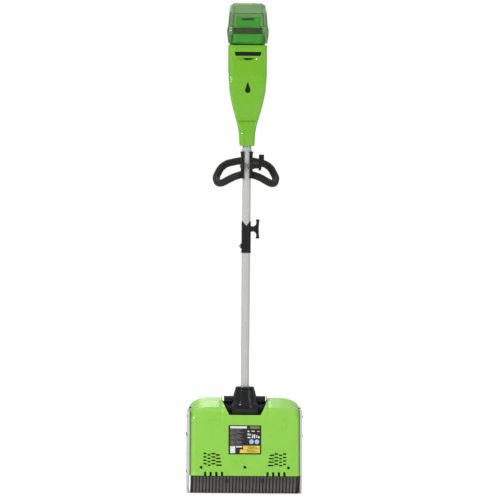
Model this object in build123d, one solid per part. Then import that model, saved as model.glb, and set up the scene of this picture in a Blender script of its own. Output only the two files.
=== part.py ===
"""Battery snow blower: wide rotor head, two-piece tube, loop front handle and rear handle with battery.

Millimetres, +Z up along the tube, +X to the operator's right, +Y away from the operator.
Sub-parts are drawn about the tube's axis and moved at export, so that the origin is the middle of the base.
"""

from build123d import *
from math import cos, hypot, radians, sin
import os

# ---- tube ----
TUBE_R = 12.5
TUBE_WALL = 1.2
RUNNING = 0.05            # radial clearance of a running fit
NECK_TOP = 318.6
JOINT_Z = 765.0           # where the two tubes butt
UPPER_TOP = 1128.0

# ---- head ----
HEAD_HALF = 172.0         # over the side plates
COVER_HALF = 165.0        # over the green covers
COVER_WALL = 3.0
REAR_FOOT = (-88.0, 56.0)     # (y, z) along the back of the head
FOLD = (-36.0, 255.0)
CREST = (58.0, 288.0)
BROW = (106.0, 200.0)
LIP = (108.0, 178.0)
SEAM_Y = 22.0
CROWN_RUN = 60.0          # half width over which the top falls to the sides
CROWN_DROP = 32.0
FOLD_R = 14.0
CREST_R = 24.0
BROW_R = 10.0
ROTOR_Y = 16.0
ROTOR_Z = 80.0
SCROLL_R = 78.0
ROTOR_LEFT = -158.0
ROTOR_RIGHT = 128.0
BULKHEAD_X = 134.0
MOTOR_Y = 8.0
MOTOR_Z = 196.0
MOTOR_R = 31.0
MOTOR_PULLEY_R = 10.0
ROTOR_PULLEY_R = 40.0
BELT_X = 150.0            # middle of the belt
BELT_HALF = 7.0
BELT_THICK = 2.4
NOTCH_FLOOR = 237.0
NOTCH_HALF = 45.5
NOTCH_WIDE = 66.5
NOTCH_BEND = 277.0

# ---- coupler between the tubes ----
COUPLER_R = 14.0
COUPLER_LOW = 720.0
COUPLER_TOP = 814.5
COUPLER_KNOB_Z = 791.5
SNAP_Z = 740.0
SPIGOT_R = TUBE_R - TUBE_WALL - RUNNING
SPIGOT_LOW = 708.0

# ---- front handle ----
SLEEVE_R = 13.7
SLEEVE_LOW = 945.0
SLEEVE_TOP = 1038.0
SADDLE_LOW = 943.0
SADDLE_TOP = 1023.0
SADDLE_R = 18.0
SADDLE_GAP = 17.5
SADDLE_BOLT_Z = 981.0
SADDLE_BOLT_Y = -20.5
LOOP_R = 11.0
LOOP_POINTS = [(11, 13, 955), (36, 15, 948), (84, 44, 921), (90.5, 80, 943), (70, 108, 982),
               (0, 118, 997)]
LOOP_RADII = [60, 30, 30, 50]
LOOP_CROWN_R = 120.0

# ---- rear handle ----
COLLAR_LOW = 1040.0
BAY_LOW = 1258.0
BAY_TOP = 1342.0
HANDLE_WALL = 3.0
HANDLE_BACK = -42.0
BAY_BACK = -34.5          # back of the battery's liner
HANDLE_FRONT = 86.0
HANDLE_HALF = 57.0
BAR_BACK = 54.0
BAR_HALF = 17.0
# height, half width, depth behind the tube's axis, depth in front of it
HANDLE_SECTIONS = [(1040, 19.5, 20, 20), (1050, 23, 23, 23), (1076, 24, 25, 22), (1096, 27.5, 23, 20),
                   (1115, 32.5, 25, 18), (1122, 34.5, 31, 17), (1160, 45, 37, 16), (1200, 53, 41, 16),
                   (1230, 55.5, 42, 16), (1250, 57, 39, 16), (1342, 57, 39, 16)]
WELL_Z = 1207.5           # screw well in the rear shell
TRIGGER_PIVOT = (66.0, 1222.0)
TRIGGER_HALF = 8.0
LOCK_Z = 1118.0
LID_LOW = 1347.0
LID_TOP = 1468.0
LID_WALL = 2.5
LID_PIVOT = (73.0, 1390.0)
LID_KNUCKLE = 8.0
LID_BACK_LOW = 1375.0     # foot of the lid's far wall; the bay's upright stands below it
BATTERY_HALF = 38.0
BATTERY_BACK = -31.0
BATTERY_FRONT = 50.0
BATTERY_LOW = 1290.0
BATTERY_TOP = 1428.5
BATTERY_BUTTON_Z = 1403.0
TOP_HALF = 35.5           # battery above its waist
WAIST_HALF = 43.0
WAIST_LOW = 1349.0
WAIST_TOP = 1395.5

# middle of the whole object's depth, measured from the tube's axis
DEPTH_MIDDLE = (LOOP_POINTS[-1][1] + LOOP_R + REAR_FOOT[0] - 1.0) / 2

os.makedirs("parts", exist_ok=True)


def box(x0, x1, y0, y1, z0, z1):
    """A block between two corners."""
    return Pos((x0 + x1) / 2, (y0 + y1) / 2, (z0 + z1) / 2) * Box(x1 - x0, y1 - y0, z1 - z0)


def rod_z(radius, low, high, x=0.0, y=0.0):
    """A round bar along Z."""
    return Pos(x, y, (low + high) / 2) * Cylinder(radius, high - low)


def rod_x(radius, low, high, y, z):
    """A round bar along X."""
    return Pos((low + high) / 2, y, z) * Rot(0, 90, 0) * Cylinder(radius, high - low)


def rod_y(radius, low, high, x, z):
    """A round bar along Y."""
    return Pos(x, (low + high) / 2, z) * Rot(90, 0, 0) * Cylinder(radius, high - low)


def side_prism(points, low, high):
    """An outline in the side view, (y, z) points, drawn out along X."""
    face = make_face(Polyline(*points, close=True))
    return extrude(Plane.YZ.offset(low) * face, amount=high - low)


def rounded_side_prism(points, corners, low, high):
    """A side-view outline drawn out along X, with some of its corners rounded: ((y, z), radius) each."""
    face = make_face(Polyline(*points, close=True))
    for (y, z), radius in corners:
        face = fillet(face.vertices().sort_by_distance((y, z, 0))[0], radius)
    return extrude(Plane.YZ.offset(low) * face, amount=high - low)


def front_prism(points, low, high):
    """An outline in the front view, (x, z) points, drawn out along Y."""
    face = make_face(Polyline(*points, close=True))
    return extrude(Plane.XZ.offset(-low) * face, amount=low - high)


def both_sides(points):
    """Mirrors a list of (x, z) points so that it closes about x = 0."""
    return list(points) + [(-x, z) for x, z in reversed(points)]


def inset(points, distance):
    """Moves an open line of (a, b) points to its right by a distance, with mitred corners."""
    moved = []
    for index, (a, b) in enumerate(points):
        normals = []
        for first, second in ((index - 1, index), (index, index + 1)):
            if first < 0 or second >= len(points):
                continue
            da = points[second][0] - points[first][0]
            db = points[second][1] - points[first][1]
            normals.append((db / hypot(da, db), -da / hypot(da, db)))
        na = sum(n[0] for n in normals) / len(normals)
        nb = sum(n[1] for n in normals) / len(normals)
        scale = distance / (na * na + nb * nb)
        moved.append((a + na * scale, b + nb * scale))
    return moved


def band(points, near, far):
    """The closed outline between two insets of one line."""
    return inset(points, near) + list(reversed(inset(points, far)))


def ring_points(radius, start, stop, steps, y=ROTOR_Y, z=ROTOR_Z):
    """Points of an arc in the side view, angles in degrees."""
    angles = [radians(start + (stop - start) * i / steps) for i in range(steps + 1)]
    return [(y + radius * cos(a), z + radius * sin(a)) for a in angles]


def save(shape, name):
    """Writes one sub-part, moved so that the origin is the middle of the base."""
    export_step(Pos(0, -DEPTH_MIDDLE, 0) * shape, f"parts/{name}.step")


# ================= head =================

def head_outline(grow=0.0):
    """The head's width and its crowned top in the front view, a quarter ellipse at each shoulder."""
    half = COVER_HALF + grow
    run = CROWN_RUN + grow
    drop = CROWN_DROP + grow
    spring = CREST[1] - CROWN_DROP
    outline = Pos(0, (spring - 20) / 2) * Rectangle(2 * half, spring + 20)
    outline += Pos(0, spring + drop / 2) * Rectangle(2 * (half - run), drop)
    for x in (half - run, run - half):
        outline += Pos(x, spring) * Ellipse(run, drop)
    return extrude(Plane.XZ.offset(200) * outline, amount=-400)


def notch(grow=0.0, low=-70.0, high=130.0):
    """The cut-out for the neck, seen from the back."""
    floor = NOTCH_FLOOR - grow
    points = [(NOTCH_HALF + grow * 0.6, floor), (NOTCH_WIDE + grow, NOTCH_BEND - grow * 0.4),
              (NOTCH_WIDE + grow, 320)]
    return front_prism(both_sides(points), low, high)


def head_skin(points, radii):
    """A 3 mm skin with side walls along part of the head's back line; radii round its inner corners."""
    corners = list(zip(inset(points, 0)[1:-1], radii))
    outer = rounded_side_prism(band(points, 0, 22), corners, -COVER_HALF, COVER_HALF) & head_outline()
    half = COVER_HALF - COVER_WALL
    corners = list(zip(inset(points, COVER_WALL)[1:-1], [radius - COVER_WALL for radius in radii]))
    inner = rounded_side_prism(band(points, COVER_WALL, 60), corners, -half, half) & head_outline(-COVER_WALL)
    return outer - inner


def panel_frame(height):
    """A plane on the back panel at a height, with its normal pointing out of the head."""
    run = (FOLD[0] - REAR_FOOT[0]) / (FOLD[1] - REAR_FOOT[1])
    origin = (0, REAR_FOOT[0] + (height - REAR_FOOT[1]) * run, height)
    return Plane(origin=origin, x_dir=(1, 0, 0), z_dir=(0, -1, run))


def vent_tools():
    """Slots through the back panel: two staggered fields of vents and a row of slots at the foot."""
    tools = []
    for side in (-1, 1):
        for row in range(4):
            widest = (81 - row * 1.2, 13 + row * 1.5, -4)
            for x, width, lift in ((119, 9.3, 0), (107, 8.7, -4), (94, 12, 0), widest):
                plane = panel_frame(121 - 10 * row + lift)
                tools.append(plane * Pos(side * x, 0) * extrude(SlotOverall(width, 4), 10, both=True))
        for x in (68, 85, 102, 118.5):
            plane = panel_frame(62)
            tools.append(plane * Pos(side * x, 0) * extrude(Rectangle(6.6, 12), 10, both=True))
    return tools


SCREW_PLACES = [(0, 81), (-130.5, 80), (130.5, 80)]
SHOULDER_SCREW = (-10.0, 255.0)
COVER_SCREW_R = 4.0
SIDE_SCREW_R = 4.5
SHANK = 0.45              # a screw's shank against its head
SIDE_SCREW_PLACES = [(-40, 174), (-24, 230), (70, 60), (92, 170)]


def rear_cover():
    """Green back cover: leaning panel, fold, rounded shoulders, vents and the neck's cut-out."""
    run = (CREST[1] - FOLD[1]) / (CREST[0] - FOLD[0])
    seam = (SEAM_Y, FOLD[1] + (SEAM_Y - FOLD[0]) * run)
    skin = head_skin([REAR_FOOT, FOLD, seam], [FOLD_R])
    skin -= notch(2.0)
    for tool in vent_tools():
        skin -= tool
    for x, z in SCREW_PLACES:
        skin -= panel_frame(z) * Pos(x, 0) * extrude(Circle(4.6), 1.6, both=True)
        skin -= panel_frame(z) * Pos(x, 0) * extrude(Circle(COVER_SCREW_R * SHANK), 8, both=True)
    for side in (-1, 1):
        skin -= rod_x(COVER_SCREW_R * SHANK, side * 165 - 8, side * 165 + 8, *SHOULDER_SCREW)
    return skin


def front_hood():
    """Green front hood: the top's front part, the brow and the lip over the rotor mouth."""
    run = (CREST[1] - FOLD[1]) / (CREST[0] - FOLD[0])
    seam = (SEAM_Y, FOLD[1] + (SEAM_Y - FOLD[0]) * run)
    skin = head_skin([seam, CREST, BROW, LIP], [CREST_R, BROW_R])
    return skin - notch(2.0)


def rotor_housing():
    """Black scroll behind and over the rotor, running out under the hood."""
    inner = ring_points(SCROLL_R, 228, 84, 16)
    outer = ring_points(SCROLL_R + COVER_WALL, 84, 228, 16)
    lip_low = (LIP[0] - 2, LIP[1] - 6)
    lip_high = (LIP[0] - 3, LIP[1] - 2.5)
    return side_prism(inner + [lip_low, lip_high] + outer, -COVER_HALF + 3.1, BULKHEAD_X - 0.1)


# side plate outline in the side view, each corner with its radius
PLATE_CORNERS = [((-89, 57), 4), ((-32, 0), 10), ((48, 0), 60), ((112, 44), 50), ((112, 184), 24),
                 ((74, 248), 30), ((-41, 248), 12)]
PLATE_WALL = 6.7


def side_plate(side):
    """Light-grey side plate with a bearing seat and a stiffening rim."""
    low, high = (HEAD_HALF - PLATE_WALL, HEAD_HALF) if side > 0 else (-HEAD_HALF, -HEAD_HALF + PLATE_WALL)
    plate = rounded_side_prism([corner for corner, _ in PLATE_CORNERS], PLATE_CORNERS, low, high)
    outer_face = plate.faces().sort_by(Axis.X)[-1 if side > 0 else 0]
    plate = chamfer(outer_face.edges(), 1.5)
    if side < 0:
        plate -= rod_x(11.0, low - 1, high + 1, ROTOR_Y, ROTOR_Z)
    for y, z in SIDE_SCREW_PLACES:
        plate -= rod_x(SIDE_SCREW_R * SHANK, low - 1, high + 1, y, z)
    return plate


def belt_bulkhead():
    """Inner wall between the rotor and the belt drive, with holes for the rotor shaft and the motor nose."""
    corners = [((-78, 56), 3), ((-28, 6), 8), ((46, 6), 56), ((104, 46), 44), ((104, 172), 3),
               ((101, 176), 3), ((60, 255), 10), ((-30, 234), 4)]
    wall = rounded_side_prism([corner for corner, _ in corners], corners, BULKHEAD_X, BULKHEAD_X + 3)
    wall -= rod_x(17.0, BULKHEAD_X - 1, BULKHEAD_X + 4, ROTOR_Y, ROTOR_Z)
    wall -= rod_x(12.0, BULKHEAD_X - 1, BULKHEAD_X + 4, MOTOR_Y, MOTOR_Z)
    return wall - scraper()


def belt_cover():
    """Light-grey wall round the belt drive, between the bulkhead and the right side plate."""
    line = [(-22, 1.5), (47, 1.5), (109.5, 45), (109.5, 168)]
    corners = [((47, 1.5), 58), ((109.5, 45), 48)]
    inner = [((a, b), radius - 2.5) for (a, b), radius in zip(inset(line, -2.5)[1:-1], (58, 48))]
    outline = band(line, -2.5, 0)
    return rounded_side_prism(outline, corners + inner, BULKHEAD_X + 3, HEAD_HALF - PLATE_WALL)


def rotor_bearings():
    """Two ball bearings, drawn as plain rings, one in each end of the housing."""
    left = rod_x(11.0, -HEAD_HALF, -HEAD_HALF + PLATE_WALL, ROTOR_Y, ROTOR_Z)
    left -= rod_x(6 + RUNNING, -180, -150, ROTOR_Y, ROTOR_Z)
    right = rod_x(17.0, BULKHEAD_X, BULKHEAD_X + 3, ROTOR_Y, ROTOR_Z)
    right -= rod_x(6 + RUNNING, 120, 150, ROTOR_Y, ROTOR_Z)
    return Compound([left, right])


RIB_PITCH = 10.0
RIB_HALF = 1.6
RIB_PROUD = 3.0


def scraper():
    """Ribbed wear bar along the bottom edge; its ribs lie flat on the ground when the tube is tilted back."""
    ground = [REAR_FOOT, (-32.0, 0.0)]
    scroll = ring_points(SCROLL_R + COVER_WALL + 0.2, 236, 203, 6)
    outline = inset(ground, -RIB_PROUD) + [(-25, 0), (-27, 8)] + scroll + [(-80, 56)]
    bar = side_prism(outline, -162, 162)
    for index in range(-16, 17):
        middle = index * RIB_PITCH
        bar += side_prism(band(ground, -RIB_PROUD - 1, 0), middle - RIB_HALF, middle + RIB_HALF)
    return bar & box(-162, 162, -100, 0, 0, 54)


def neck_bracket():
    """Glossy black lining of the cut-out with the floor that the neck stands on."""
    solid_head = side_prism([(-70, 190), (-54, 190), FOLD, CREST, BROW, (60, 190)], -80, 80) & head_outline()
    lining = (notch(1.8, -60, 115) - notch(0.0, -70, 130)) & solid_head
    floor = box(-NOTCH_HALF + 4, NOTCH_HALF - 4, -28, 50, NOTCH_FLOOR - 8, NOTCH_FLOOR)
    front_wall = notch(0.0, 50, 54) & box(-70, 70, 40, 60, 230, 272)
    return lining + floor + front_wall


def neck_socket():
    """Glossy black funnel that holds the tube, on its block, with a round barrel each side."""
    funnel = Pos(0, 0, 270) * extrude(Circle(40), 1)
    cone = Solid.make_cone(39.5, 28.5, 43, Plane((0, 0, 271)))
    cone += Solid.make_cone(28.5, 25.5, NECK_TOP - 314, Plane((0, 0, 314)))
    block = front_prism(both_sides([(43, NOTCH_FLOOR), (45, 243), (41, 270)]), -36, 40)
    body = block + funnel + cone
    for side in (-1, 1):
        body += rod_x(13, min(side * 30, side * 57), max(side * 30, side * 57), 14, 277)
        strut = [(1, 277), (27, 277), (30, NOTCH_FLOOR), (-2, NOTCH_FLOOR)]
        body += side_prism(strut, side * 43 - 2, side * 43 + 2)
    body -= rod_z(TUBE_R, NOTCH_FLOOR + 8, 330)
    body -= rod_z(TUBE_R - 3, 230, 330)
    return body


def lower_tube():
    """Painted aluminium tube from the neck to the coupler, with the snap button's hole."""
    tube = rod_z(TUBE_R, NOTCH_FLOOR + 8, JOINT_Z) - rod_z(TUBE_R - TUBE_WALL, 200, 800)
    return tube - rod_x(4.6, -20, 0, 0, SNAP_Z)


def motor_can():
    """Motor case with its end bells and mounting nose."""
    can = rod_x(MOTOR_R, 34, 124, MOTOR_Y, MOTOR_Z)
    can += rod_x(MOTOR_R - 4, 30, 34, MOTOR_Y, MOTOR_Z)
    can += rod_x(11.9, 124, BULKHEAD_X + 3, MOTOR_Y, MOTOR_Z)
    can -= rod_x(MOTOR_R - 2.5, 38, 121, MOTOR_Y, MOTOR_Z)
    return can - rod_x(4 + RUNNING, 0, 160, MOTOR_Y, MOTOR_Z)


def motor_mount():
    """Bracket under the motor, standing on the rotor housing."""
    cradle = box(40, 118, MOTOR_Y - 24, MOTOR_Y + 24, 164, 184)
    cradle -= rod_x(MOTOR_R, 30, 130, MOTOR_Y, MOTOR_Z)
    cradle -= rod_x(SCROLL_R + COVER_WALL, 30, 130, ROTOR_Y, ROTOR_Z)
    return cradle


def motor_rotor_parts():
    """Motor shaft with its armature, drive pulley and fan."""
    shaft = rod_x(4, 24, 160, MOTOR_Y, MOTOR_Z) + rod_x(20, 50, 108, MOTOR_Y, MOTOR_Z)
    pulley = rod_x(MOTOR_PULLEY_R, BELT_X - 8, BELT_X + 8, MOTOR_Y, MOTOR_Z)
    for x in (BELT_X - 9.5, BELT_X + 8):
        pulley += rod_x(MOTOR_PULLEY_R + 3.5, x, x + 1.5, MOTOR_Y, MOTOR_Z)
    pulley -= rod_x(4, 100, 170, MOTOR_Y, MOTOR_Z)
    fan = rod_x(9, 6, 24, MOTOR_Y, MOTOR_Z)
    for index in range(9):
        blade = Pos(0, 0, 17) * Rot(0, 0, 32) * Box(14, 1.6, 18)
        fan += Pos(15, MOTOR_Y, MOTOR_Z) * Rot(index * 40, 0, 0) * blade
    fan -= rod_x(4, 0, 40, MOTOR_Y, MOTOR_Z)
    shaft += rod_x(4, 6, 24, MOTOR_Y, MOTOR_Z)
    return shaft, pulley, fan


def drive_belt():
    """Belt round both pulleys, a third of a millimetre clear of them."""
    gap = 0.35
    outer = belt_loop(gap + BELT_THICK)
    inner = belt_loop(gap)
    return outer - inner


def belt_loop(grow):
    """The filled outline of the belt's run, grown from the pulleys' rims."""
    dy = MOTOR_Y - ROTOR_Y
    dz = MOTOR_Z - ROTOR_Z
    length = hypot(dy, dz)
    small = MOTOR_PULLEY_R + grow
    large = ROTOR_PULLEY_R + grow
    lean = (large - small) / length
    side = (1 - lean * lean) ** 0.5
    along = (dy / length, dz / length)
    across = (-along[1], along[0])
    corners = []
    for sign, (y, z), radius in ((1, (ROTOR_Y, ROTOR_Z), large), (1, (MOTOR_Y, MOTOR_Z), small),
                                 (-1, (MOTOR_Y, MOTOR_Z), small), (-1, (ROTOR_Y, ROTOR_Z), large)):
        corners.append((y + radius * (lean * along[0] + sign * side * across[0]),
                        z + radius * (lean * along[1] + sign * side * across[1])))
    loop = side_prism(corners, BELT_X - BELT_HALF, BELT_X + BELT_HALF)
    loop += rod_x(small, BELT_X - BELT_HALF, BELT_X + BELT_HALF, MOTOR_Y, MOTOR_Z)
    loop += rod_x(large, BELT_X - BELT_HALF, BELT_X + BELT_HALF, ROTOR_Y, ROTOR_Z)
    return loop


def rotor_parts():
    """Rotor shaft, hub tube with end discs, four swept paddles and the driven pulley."""
    shaft = rod_x(6, -HEAD_HALF, 160, ROTOR_Y, ROTOR_Z)
    core = rod_x(17, ROTOR_LEFT, ROTOR_RIGHT, ROTOR_Y, ROTOR_Z)
    core -= rod_x(6, -200, 200, ROTOR_Y, ROTOR_Z)
    swept = [(-3, 15), (3, 15), (5, 40), (10, 60), (17, 72), (13, 73.3), (4, 62), (-1, 41)]
    paddle = side_prism(swept, ROTOR_LEFT, ROTOR_RIGHT)
    paddles = []
    for index in range(4):
        blade = Pos(0, ROTOR_Y, ROTOR_Z) * Rot(index * 90 + 20, 0, 0) * paddle
        paddles.append(blade - rod_x(17, -200, 200, ROTOR_Y, ROTOR_Z))
    pulley = rod_x(ROTOR_PULLEY_R, BELT_X - 8, BELT_X + 8, ROTOR_Y, ROTOR_Z)
    for x in (BELT_X - 9.5, BELT_X + 8):
        pulley += rod_x(ROTOR_PULLEY_R + 3, x, x + 1.5, ROTOR_Y, ROTOR_Z)
    for index in range(5):
        turn = radians(index * 72)
        pulley -= rod_x(8, 130, 170, ROTOR_Y + 25 * cos(turn), ROTOR_Z + 25 * sin(turn))
    pulley -= rod_x(6, 100, 200, ROTOR_Y, ROTOR_Z)
    return shaft, core, Compound(paddles), pulley


def screw_heads(places, radius, height, sink):
    """A group of pan-head screws: each place is a plane whose normal points out of the surface."""
    screws = []
    for plane in places:
        head = extrude(Circle(radius), height)
        head += Pos(0, 0, -sink) * extrude(Circle(radius * SHANK), sink)
        head -= Pos(0, 0, height - 0.8) * extrude(Rectangle(radius * 1.1, 1.0), 2)
        head -= Pos(0, 0, height - 0.8) * extrude(Rectangle(1.0, radius * 1.1), 2)
        screws.append(plane * head)
    return Compound(screws)


# ================= coupler =================

def coupler():
    """Black sleeve over both tube ends, with a pointed mouth, a knob boss and the snap button's boss."""
    body = rod_z(COUPLER_R, COUPLER_LOW, COUPLER_TOP) + rod_z(COUPLER_R + 0.8, COUPLER_LOW, COUPLER_LOW + 5)
    body += rod_x(8.5, 8, 21, 0, COUPLER_KNOB_Z) + rod_x(7.5, -17, -8, 0, SNAP_Z)
    body += box(-7, 7, 8, 17, 765, 812)
    body -= rod_z(TUBE_R + RUNNING, 700, 830)
    body -= front_prism([(0, COUPLER_TOP - 14), (13, COUPLER_TOP + 1), (-13, COUPLER_TOP + 1)], -30, 0)
    body -= rod_x(4.0 + RUNNING, 0, 40, 0, COUPLER_KNOB_Z)
    return body - rod_x(4.2 + RUNNING, -30, 0, 0, SNAP_Z)


def coupler_knob():
    """Wing knob with its stud, turning on the coupler's boss."""
    knob = rod_x(4.0, 13.2, 33, 0, COUPLER_KNOB_Z) + rod_x(8, 21.5, 31, 0, COUPLER_KNOB_Z)
    wing = [(-6, 0), (-7.5, 20), (-8.5, 28.5), (8.5, 28.5), (7.5, 20), (6, 0), (7.5, -20), (8.5, -28.5),
            (-8.5, -28.5), (-7.5, -20)]
    blade = side_prism([(y, COUPLER_KNOB_Z + z) for y, z in wing], 21.5, 40.5)
    blade = fillet(blade.edges().filter_by(Axis.X), 2.5)
    flare = [(22, 7.5), (26, 9.5), (29.5, 14), (30.5, 20), (28.5, 28.5), (39.5, 28.5), (38, 14), (37.5, 0)]
    flare = [(x, COUPLER_KNOB_Z + z) for x, z in flare]
    mirrored = [(x, 2 * COUPLER_KNOB_Z - z) for x, z in reversed(flare[:-1])]
    return knob + (blade & front_prism(flare + mirrored, -10, 10))


def snap_button():
    """Spring button in the coupler that holds the upper tube."""
    return rod_x(4.2, -20, -12.75, 0, SNAP_Z) + rod_x(3.0, -21.2, -20, 0, SNAP_Z)


def upper_tube():
    """Painted aluminium upper tube with a reduced end that enters the lower tube."""
    tube = rod_z(TUBE_R, JOINT_Z + 0.5, UPPER_TOP) + rod_z(SPIGOT_R, SPIGOT_LOW, JOINT_Z + 4)
    tube -= rod_z(SPIGOT_R - 1.4, 600, 1200)
    return tube - rod_x(4.6, -20, 0, 0, SNAP_Z)


# ================= front handle =================

def aux_sleeve():
    """Plastic sleeve that runs on the tube and carries the front handle's clamp."""
    sleeve = rod_z(SLEEVE_R, SLEEVE_LOW, SLEEVE_TOP) + rod_z(SLEEVE_R + 2.6, SADDLE_TOP + 1, SADDLE_TOP + 4)
    return sleeve - rod_z(TUBE_R + RUNNING, 900, 1100)


def aux_saddle():
    """Open clamp round the sleeve, with ears for the bolt and short sockets for the loop's ends."""
    body = rod_z(SADDLE_R, SADDLE_LOW + 4, SADDLE_TOP - 4)
    body += Solid.make_cone(SADDLE_R + 2, SADDLE_R, 8, Plane((0, 0, SADDLE_LOW)))
    body += Solid.make_cone(SADDLE_R, SADDLE_R + 2, 8, Plane((0, 0, SADDLE_TOP - 8)))
    body += box(-17, 17, -27, 0, SADDLE_BOLT_Z - 12, SADDLE_BOLT_Z + 12)
    body += box(-18, 18, 2, 26, 943, 966)
    body -= box(-SADDLE_GAP / 2, SADDLE_GAP / 2, -40, 0, 900, 1100)
    body -= rod_z(SLEEVE_R + RUNNING, 900, 1100)
    return body - rod_x(3.2, -40, 40, SADDLE_BOLT_Y, SADDLE_BOLT_Z)


def loop_path():
    """The loop's centre line: straight runs joined by arcs, mirrored about x = 0."""
    right = [Vector(*p) for p in LOOP_POINTS]
    left = [Vector(-p.X, p.Y, p.Z) for p in reversed(right[:-1])]
    radii = LOOP_RADII + [LOOP_CROWN_R] + list(reversed(LOOP_RADII))
    return FilletPolyline(*(right + left), radius=radii)


def aux_loop():
    """The loop that the front hand holds: a round bar that drops to the sides and rises round the front."""
    path = loop_path()
    start = Plane(origin=path @ 0, z_dir=path % 0)
    loop = sweep(start * Circle(LOOP_R), path=path)
    return loop - rod_z(SLEEVE_R + 0.3, 900, 1100)


def aux_bolt():
    """Clamp bolt across the saddle's opening, with its square nut."""
    bolt = rod_x(3.0, -19, 33, SADDLE_BOLT_Y, SADDLE_BOLT_Z)
    nut = Pos(-19.1, SADDLE_BOLT_Y, SADDLE_BOLT_Z) * Box(3.8, 11, 11)
    return bolt + nut


def aux_knob():
    """Lever knob that tightens the front handle's clamp, its long arm up."""
    y, z = SADDLE_BOLT_Y, SADDLE_BOLT_Z
    knob = rod_x(8, 17.6, 38, y, z) + rod_x(10, 17.6, 22, y, z)
    wing = [(-7.5, 0), (-8.5, 22), (-7.5, 34), (7.5, 34), (8.5, 22), (7.5, 0), (5.5, -14), (-5.5, -14)]
    blade = side_prism([(y + a, z + b) for a, b in wing], 35, 51)
    blade = fillet(blade.edges().filter_by(Axis.X), 2.5)
    taper = [(35, -14), (42, -14), (45, 4), (51, 14), (51, 34), (36, 34), (35, 14)]
    knob += blade & front_prism([(x, z + b) for x, b in taper], y - 10, y + 10)
    return knob - rod_x(3.0 + RUNNING, 0, 33.5, y, z)


# ================= rear handle =================

def spine_body(wall=0.0):
    """The rear handle's spine: rounded sections that widen from the collar to the battery bay."""
    sections = []
    for z, half, back, front in HANDLE_SECTIONS:
        outline = RectangleRounded(2 * (half - wall), back + front - 2 * wall, 11 - wall)
        sections.append(Pos(0, (front - back) / 2, z) * outline)
    return loft(sections, ruled=True)


FRONT_PROFILE = [(0, 1040), (20, 1040), (23, 1050), (24, 1066), (78, 1084), (86, 1094), (86, 1330),
                 (76, 1342), (0, 1342)]
HAND_HOLE = [(16, 1108), (46, 1112), (54, 1120), (54, 1244), (46, 1254), (16, 1254)]


def handle_rear_shell():
    """Green lower shell of the rear handle, on the operator's side, with a screw well and a finger slot."""
    half_space = box(-80, 80, -80, 0, 1000, 1400)
    outer = spine_body() & half_space
    inner = spine_body(HANDLE_WALL) & box(-80, 80, -80, 0, 1078, 1400)
    shell = outer - inner
    shell -= box(-HANDLE_HALF + 3, HANDLE_HALF - 3, HANDLE_BACK + 6, 1, 1335, 1345)
    shell -= rod_z(TUBE_R, 1000, UPPER_TOP + 0.5)
    drop = Pos(0, WELL_Z) * Circle(8.5)
    point = make_face(Polyline((-8.4, WELL_Z + 1.5), (8.4, WELL_Z + 1.5), (0, WELL_Z + 23), close=True))
    floor = box(-13, 13, HANDLE_BACK + 3, HANDLE_BACK + 8, WELL_Z - 14, WELL_Z + 27)
    shell += floor
    shell -= extrude(Plane.XZ.offset(-HANDLE_BACK - 5) * (drop + point), amount=10)
    slot_points = both_sides([(37, 1310), (40.5, 1322)])
    return shell - front_prism(slot_points, HANDLE_BACK - 2, BAY_BACK + 1)


def handle_front_shell():
    """Green upper shell: front half of the spine, the battery bay's walls and the closed hand loop."""
    front_space = box(-80, 80, 0, 100, 1000, 1400)
    spine = spine_body() & front_space
    bay = box(-HANDLE_HALF, HANDLE_HALF, 0, HANDLE_FRONT - 14, BAY_LOW, BAY_TOP)
    bay = chamfer(bay.edges().filter_by(Axis.Z).sort_by(Axis.Y)[-2:], 10)
    bay_space = box(-HANDLE_HALF + 3, HANDLE_HALF - 3, -1, HANDLE_FRONT - 17, BAY_LOW + 3, BAY_TOP + 1)
    bay_space = chamfer(bay_space.edges().filter_by(Axis.Z).sort_by(Axis.Y)[-2:], 9)
    loop = side_prism(FRONT_PROFILE, -BAR_HALF, BAR_HALF)
    loop = fillet(loop.edges().sort_by(Axis.Y)[-2:], 5)
    hole = side_prism(HAND_HOLE, -40, 40)
    hole = fillet(hole.edges().filter_by(Axis.X), 5)
    body = spine + bay + (loop - hole)
    body -= spine_body(HANDLE_WALL) & box(-80, 80, -1, 13, 1078, 1360)
    body -= bay_space
    body -= box(-13, 13, BAR_BACK + 3, HANDLE_FRONT - 3.5, 1100, BAY_LOW + 10)
    body -= rod_z(TUBE_R, 1000, UPPER_TOP + 0.5)
    body -= box(-TRIGGER_HALF - 0.4, TRIGGER_HALF + 0.4, 50, 70, 1140, 1238)
    body -= rod_y(6 + RUNNING, 70, 100, 0, LOCK_Z)
    body += box(-53, 53, 58, 61, BAY_TOP - 6, LID_BACK_LOW - 1)
    for x0, x1 in ((-38, -24), (24, 38)):
        ear = [(58, BAY_TOP - 6), (81, BAY_TOP - 6), (81, LID_PIVOT[1]), (65, LID_PIVOT[1]),
               (65, LID_BACK_LOW), (61, LID_BACK_LOW - 4), (58, LID_BACK_LOW - 4)]
        body += side_prism(ear, x0, x1) + rod_x(LID_KNUCKLE, x0, x1, *LID_PIVOT)
        body -= rod_x(2 + RUNNING, x0 - 1, x1 + 1, *LID_PIVOT)
    return body


def grip_overmould():
    """Soft dark grip on the outer side of the hand loop."""
    skin = box(-19, 19, 66, 88, 1134, 1248)
    skin = fillet(skin.edges().filter_by(Axis.Z).sort_by(Axis.Y)[-2:], 6)
    core = box(-BAR_HALF, BAR_HALF, 40, HANDLE_FRONT, 1100, 1300)
    core = fillet(core.edges().filter_by(Axis.Z).sort_by(Axis.Y)[-2:], 5)
    return skin - core


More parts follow.
